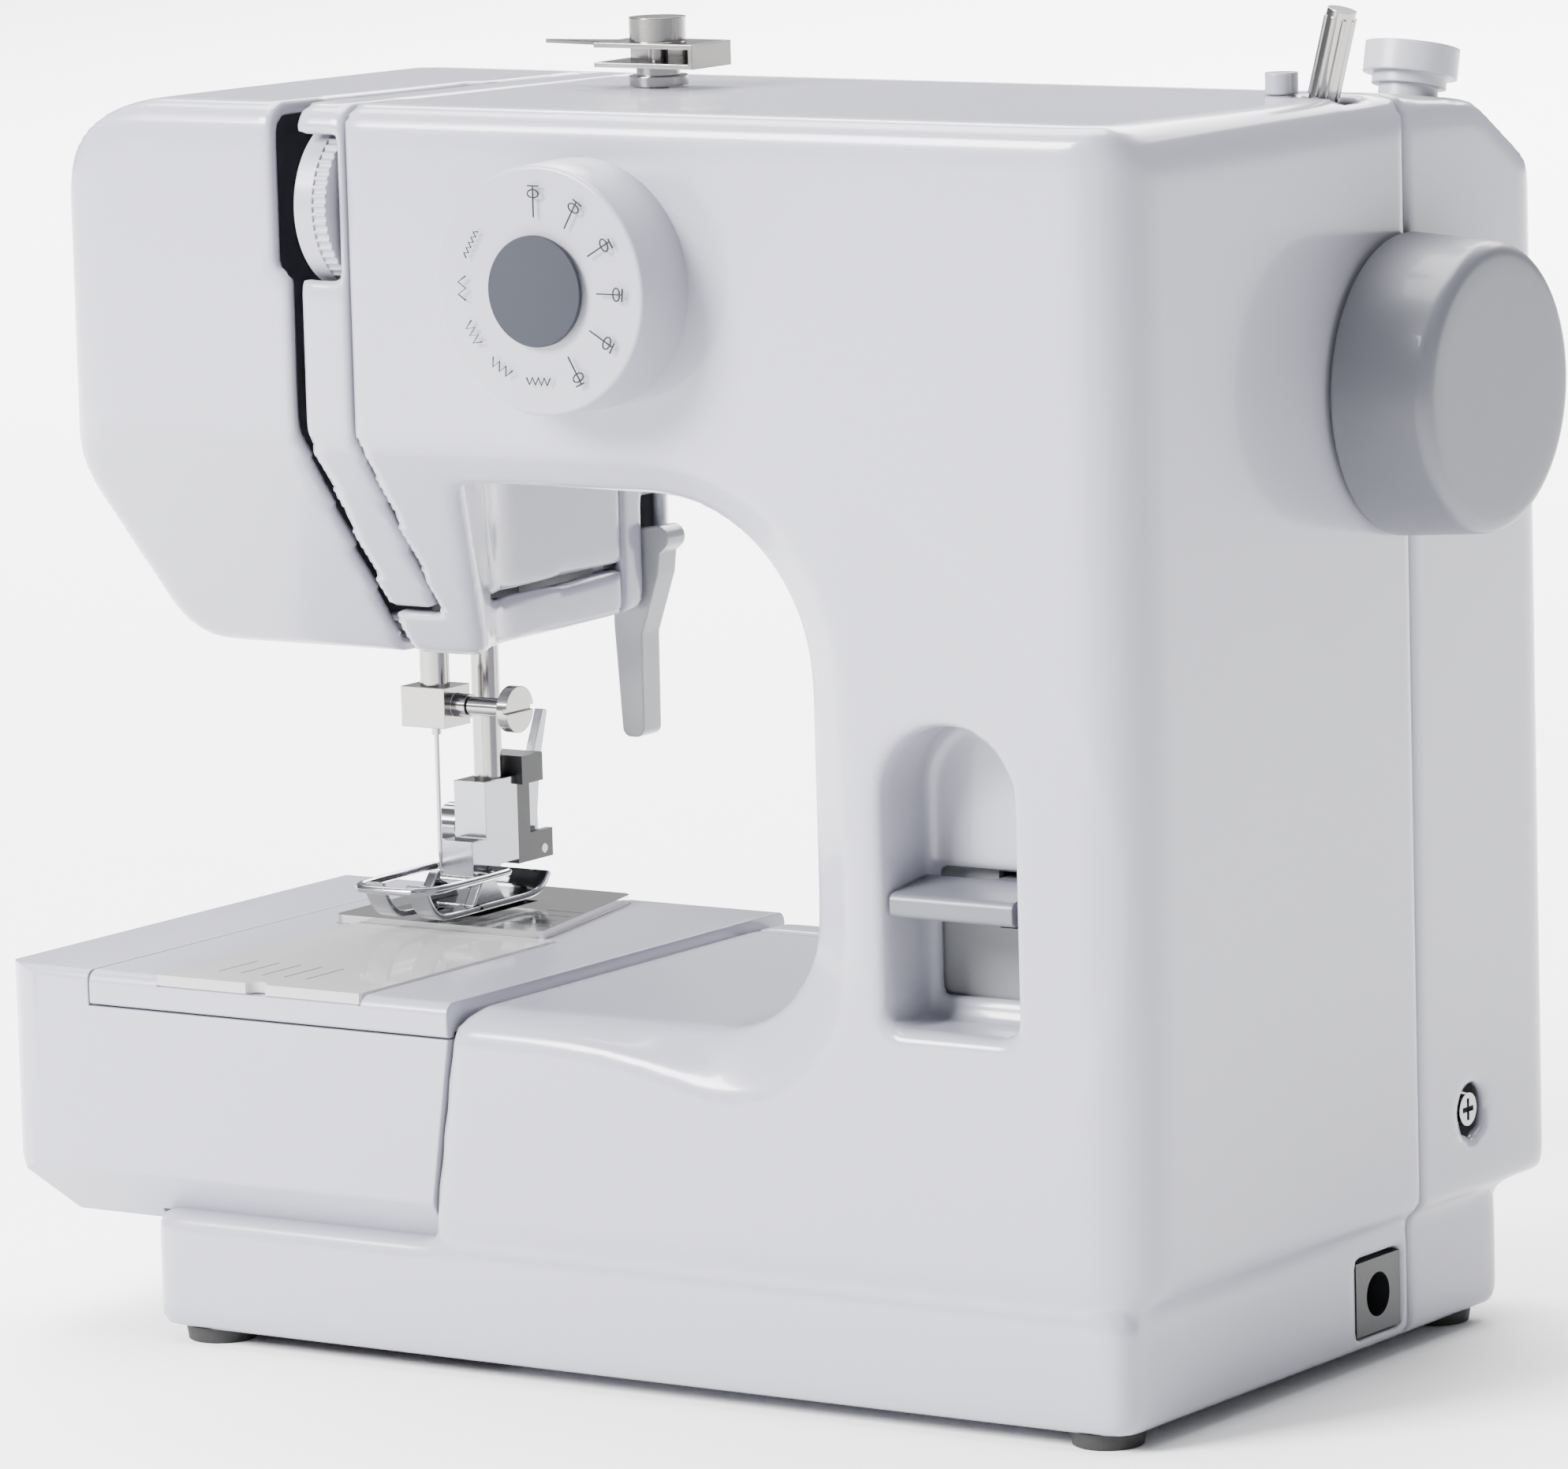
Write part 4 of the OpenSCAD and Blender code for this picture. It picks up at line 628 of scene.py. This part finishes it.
def soften_edges(obj, width):
    """Rounds a piece's edges by a width in mm."""
    mod = obj.modifiers.new("edges", "BEVEL")
    mod.width = width * MM
    mod.segments = 2
    mod.limit_method = "ANGLE"
    mod.angle_limit = math.radians(35)
    mod.harden_normals = False


def add_mark(name, vertices, faces, node, mat):
    """Printed or moulded mark that rides with its node's body."""
    mesh = bpy.data.meshes.new(name)
    mesh.from_pydata([Vector(v) * MM for v in vertices], [], faces)
    mesh.update()
    mesh.materials.append(mat)
    obj = bpy.data.objects.new(name, mesh)
    bpy.context.scene.collection.objects.link(obj)
    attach(obj, BODY_OF[node])
    return obj


def make_dial():
    """Stitch dial: drum with a soft rim, and the stitch signs on its face."""
    height = dial_back - dial_face - 1
    profile = rounded_profile([
        (0, 0, 0), (dial_r - 1.2, 0, 0), (dial_r, 3, 1.5), (dial_r - 0.7, height, 0.8), (0, height, 0)])
    vertices, faces = lathe(profile, 120)
    vertices = facing_front(vertices, (dial_x, dial_back, dial_z))
    mesh_piece("stitch_dial_drum", "pattern_dial", vertices, faces)
    marks = []
    for i in range(11):
        angle = math.radians(90 - i * 30)
        for stroke in (flag(i) if i < 6 else zigzag(i)):
            path = []
            for across, out in stroke:
                radius = dial_r * 0.7 + out
                u = dial_x + radius * math.cos(angle) + across * math.sin(angle)
                v = dial_z + radius * math.sin(angle) - across * math.cos(angle)
                path.append((u, dial_face - 0.02, v))
            marks.append(curve_tube(path, INK_WIDTH / 2, 6))
    add_mark("stitch_marks", *join(*marks), "pattern_dial", INK)


def zigzag(i):
    """Stitch sign number i: a row of slanted strokes, drawn across the dial's radius."""
    signs = ((3, 1.0, 5), (2.8, 1.4, 4), (2.6, 1.8, 3), (2.4, 2.0, 3), (2.4, 1.8, 2))
    half_width, height, teeth = signs[i % len(signs)]
    path = []
    for k in range(teeth * 2 + 1):
        across = half_width * (k / teeth - 1)
        path.append((across, height / 2 if k % 2 else -height / 2))
    return [path]


def flag(i):
    """Stitch sign number i: a stem with an open loop."""
    loop = []
    for k in range(13):
        turn = k * math.pi / 6
        loop.append((1.3 * math.cos(turn), 1.4 + 0.8 * math.sin(turn)))
    stem = [(0, -3.2), (0, 2.8)]
    bar = [(-1.2 + 0.3 * (i % 3), 2.9), (1.4, 2.9 - 0.2 * (i % 2))]
    return [stem, loop, bar]


def make_cap():
    """Flat disc in the middle of the stitch dial."""
    profile = rounded_profile([(0, 0, 0), (10.2, 0, 0), (10.9, 0, 0), (10.9, 0.8, 0.3), (0, 0.85, 0)])
    vertices, faces = lathe(profile, 96)
    vertices = facing_front(vertices, (dial_x, dial_face, dial_z))
    mesh_piece("dial_cap_disc", "dial_cap", vertices, faces)


def make_handwheel():
    """Handwheel: a smooth drum that narrows towards its face, with a soft rim."""
    (x0, y0, z0), (x1, y1, z1) = node_box("handwheel")
    radius = (z1 - z0) / 2
    depth = x1 - x0
    profile = rounded_profile([
        (0, 0, 0), (radius - 1, 0, 0), (radius, 0.6, 0.5), (radius - 1.4, depth, 3.2),
        (radius - 8, depth, 0), (0, depth - 0.25, 0)], 8)
    vertices, faces = lathe(profile, 144)
    vertices = facing_right(vertices, (x0, (y0 + y1) / 2, (z0 + z1) / 2))
    mesh_piece("handwheel_drum", "handwheel", vertices, faces)


def side_plate(points, left, right):
    """Flat plate between two X places, with an outline seen from the side."""
    n = len(points)
    vertices = [(x, point.y, point.z) for x in (left, right) for point in points]
    faces = [tuple(range(n)), tuple(range(2 * n - 1, n - 1, -1))]
    for k in range(n):
        m = (k + 1) % n
        faces.append((k, n + k, n + m, m))
    return vertices, faces


def make_presser_foot():
    """Foot with two turned-up toes, a raised heel and a web on each side."""
    sole = node_box("presser_foot")[0][2]
    bar_y = node_box("foot_holder")[1][1] - 4.5

    def foot_curve(x, places):
        """Curve at one X through (distance behind the presser bar, height over the sole) places."""
        return spline([(x, bar_y + behind, sole + up) for behind, up in places])

    needle_gap = needle_y - bar_y
    toe = ((-34.3, 8.2), (-32.6, 4.4), (-29.6, 1.5), (-25.5, 0.7), (needle_gap + 4, 0.7))
    heel = ((needle_gap + 2.4, 0.8), (-6, 0.8), (4, 1.0), (8, 2.4), (10.3, 4.7))
    web = ((-17, 1.2), (-13.2, 6.4), (-11, 7.4), (-8.6, 5.6), (-5, 1.2))
    toe_out, web_out = 5.4, 6.0
    parts = [swept(foot_curve(needle_x + out, toe), 2.5, 1.3) for out in (-toe_out, toe_out)]
    parts.append(swept(foot_curve(needle_x, heel), 7.9, 1.4))
    for out in (-web_out, web_out):
        ear = needle_x + out
        parts.append(side_plate(foot_curve(ear, web), ear - 1.3, ear + 1.3))
    obj = mesh_piece("presser_foot_finished", "presser_foot", *join(*parts), smooth=False)
    soften_edges(obj, 0.3)


def make_finger_guard():
    """Wire loop over the foot's toes, open at its back."""
    inset = 0.9
    (x0, y0, z0), (x1, y1, z1) = node_box("finger_guard")
    x0, x1, y0, y1 = x0 + inset, x1 - inset, y0 + inset, y1 - inset
    z = (z0 + z1) / 2
    left_half = [(needle_x - 4, y1), (x0 + 1, y1 - 0.2), (x0, y1 - 4), (x0, y0 + 6), (x0 + 2, y0 + 1.2),
                 (needle_x - 5, y0)]
    right_half = [(needle_x + 5, y0), (x1 - 2, y0 + 1.2), (x1, y0 + 6), (x1, y1 - 4), (x1 - 1, y1 - 0.2),
                  (needle_x + 4, y1)]
    path = spline([(x, y, z) for x, y in left_half + right_half])
    mesh_piece("finger_guard_wire", "finger_guard", *curve_tube(path, 0.85, 12))


def make_tension_marks():
    """Three digits on the left half of the tension wheel's rim."""
    (left, y0, z0), (_, y1, z1) = node_box("tension_wheel")
    centre_y = (y0 + y1) / 2
    centre_z = (z0 + z1) / 2
    radius = (z1 - z0) / 2 - 0.9
    strokes = {"3": [(-1, 2), (1, 2), (0, 0.5), (1, -0.6), (0.6, -1.8), (-1, -1.7)],
               "4": [(0.6, -2), (0.6, 2), (-1.1, -0.7), (1.2, -0.7)],
               "5": [(1, 2), (-0.8, 2), (-0.9, 0.3), (0.6, 0.4), (0.9, -1), (0, -2), (-1, -1.6)]}
    marks = []
    for digit, lean in (("4", 0), ("3", 26), ("5", -26)):
        path = []
        for across, up in strokes[digit]:
            angle = math.radians(180 + lean) - up / radius
            path.append((left + 2.1 + across * 0.7, centre_y + radius * math.cos(angle) - 0.02,
                         centre_z - radius * math.sin(angle)))
        marks.append(curve_tube(path, INK_WIDTH / 2, 6))
    add_mark("tension_digits", *join(*marks), "tension_wheel", INK)


def make_bed_details():
    """Two white tabs and a ledge under the clear cover, and the scale printed on the plates."""
    (x0, y0, _), (x1, y1, _) = node_box("bobbin_cover")
    low = bed_top - 3.6
    tab_top = bed_top - 1.75
    middle = x0 + (x1 - x0) * 0.48
    tabs = join(slab((x0 + 0.3, y0 + 0.3, low), (middle - 1.6, y0 + 4.2, tab_top)),
                slab((middle + 1.6, y0 + 0.3, low), (x1 - 0.3, y0 + 4.2, tab_top)),
                slab((x0 + 0.3, y0 + 4.6, low), (x1 - 0.3, y1 - 1, low + 1)))
    obj = add_mark("cover_tabs", *tabs, "bobbin_cover", MATERIALS["shell"])
    soften_edges(obj, 0.35)
    lines = []
    for i in range(5):
        x = x0 + 9 + i * 5.5
        lines.append(slab((x, y0 + 9, bed_top + 0.5), (x + 0.3, y0 + 22, bed_top + 0.53)))
    (_, plate_y0, _), (plate_x1, _, plate_top) = node_box("needle_plate")
    for i in range(4):
        y = plate_y0 + 8 + i * 5
        lines.append(slab((plate_x1 - 14, y, plate_top), (plate_x1 - 5, y + 0.4, plate_top + 0.03)))
    add_mark("bed_scale", *join(*lines), "bed_plate", INK)


# --- Studio -----------------------------------------------------------------------------

def studio():
    """Pale seamless floor, a key light at the front left, a top light and one on the floor behind."""
    floor_mesh = bpy.data.meshes.new("floor")
    bm = bmesh.new()
    bmesh.ops.create_grid(bm, x_segments=8, y_segments=8, size=6.0)
    bm.to_mesh(floor_mesh)
    bm.free()
    floor = bpy.data.objects.new("floor", floor_mesh)
    bpy.context.scene.collection.objects.link(floor)
    paper = material("floor_paper", (0.97, 0.97, 0.97), 0.85, bump=0.01, mottling=0.004)
    floor.data.materials.append(paper)
    floor.location.z = -0.0002
    world = bpy.data.worlds.new("studio")
    world.use_nodes = True
    sky = world.node_tree.nodes["Background"]
    sky.inputs["Color"].default_value = (0.97, 0.98, 1.0, 1)
    sky.inputs["Strength"].default_value = 0.42
    bpy.context.scene.world = world
    machine = (0, 0, 0.12)
    for name, place, target, size, power in (
            ("key_light", (-1.2, -2.2, 1.7), machine, 1.2, 340),
            ("top_light", (-0.5, 0.5, 2.6), machine, 2.2, 240),
            ("back_light", (-1.0, 3.2, 2.0), (-1.2, 3.6, 0), 3.0, 520)):
        data = bpy.data.lights.new(name, "AREA")
        data.size = size
        data.energy = power
        lamp = bpy.data.objects.new(name, data)
        bpy.context.scene.collection.objects.link(lamp)
        lamp.location = place
        aim = Vector(target) - Vector(place)
        lamp.rotation_euler = aim.to_track_quat("-Z", "Y").to_euler()


def photo_camera():
    """Long lens from the front right, slightly above and slightly rolled."""
    azimuth = math.radians(34.0)
    pitch = math.radians(8.6)
    roll = math.radians(-1.55)
    place = Vector((1.06255, -1.57612, 0.40988))
    sensor_width = 36.0
    right = Vector((math.cos(azimuth), math.sin(azimuth), 0))
    towards_front = Vector((math.sin(azimuth), -math.cos(azimuth), 0))
    backwards = towards_front * math.cos(pitch) + Vector((0, 0, math.sin(pitch)))
    up = backwards.cross(right)
    rolled_right = right * math.cos(roll) + up * math.sin(roll)
    rolled_up = up * math.cos(roll) - right * math.sin(roll)
    data = bpy.data.cameras.new("camera")
    data.sensor_width = sensor_width
    data.lens = 6.03622 * sensor_width      # sees about a sixth of the distance across
    data.clip_end = 20
    camera = bpy.data.objects.new("camera", data)
    bpy.context.scene.collection.objects.link(camera)
    axes = Matrix((rolled_right, rolled_up, backwards)).transposed().to_4x4()
    camera.matrix_world = Matrix.Translation(place) @ axes
    bpy.context.scene.camera = camera


# --- The whole scene --------------------------------------------------------------------

make_housing(1.6)
for node in ("base_pan", "free_arm", "bed_plate", "storage_tray", "lifter_lever", "reverse_lever"):
    smooth_copy(node)
make_dial()
make_cap()
make_handwheel()
make_presser_foot()
make_finger_guard()
make_tension_marks()
make_bed_details()
studio()
photo_camera()
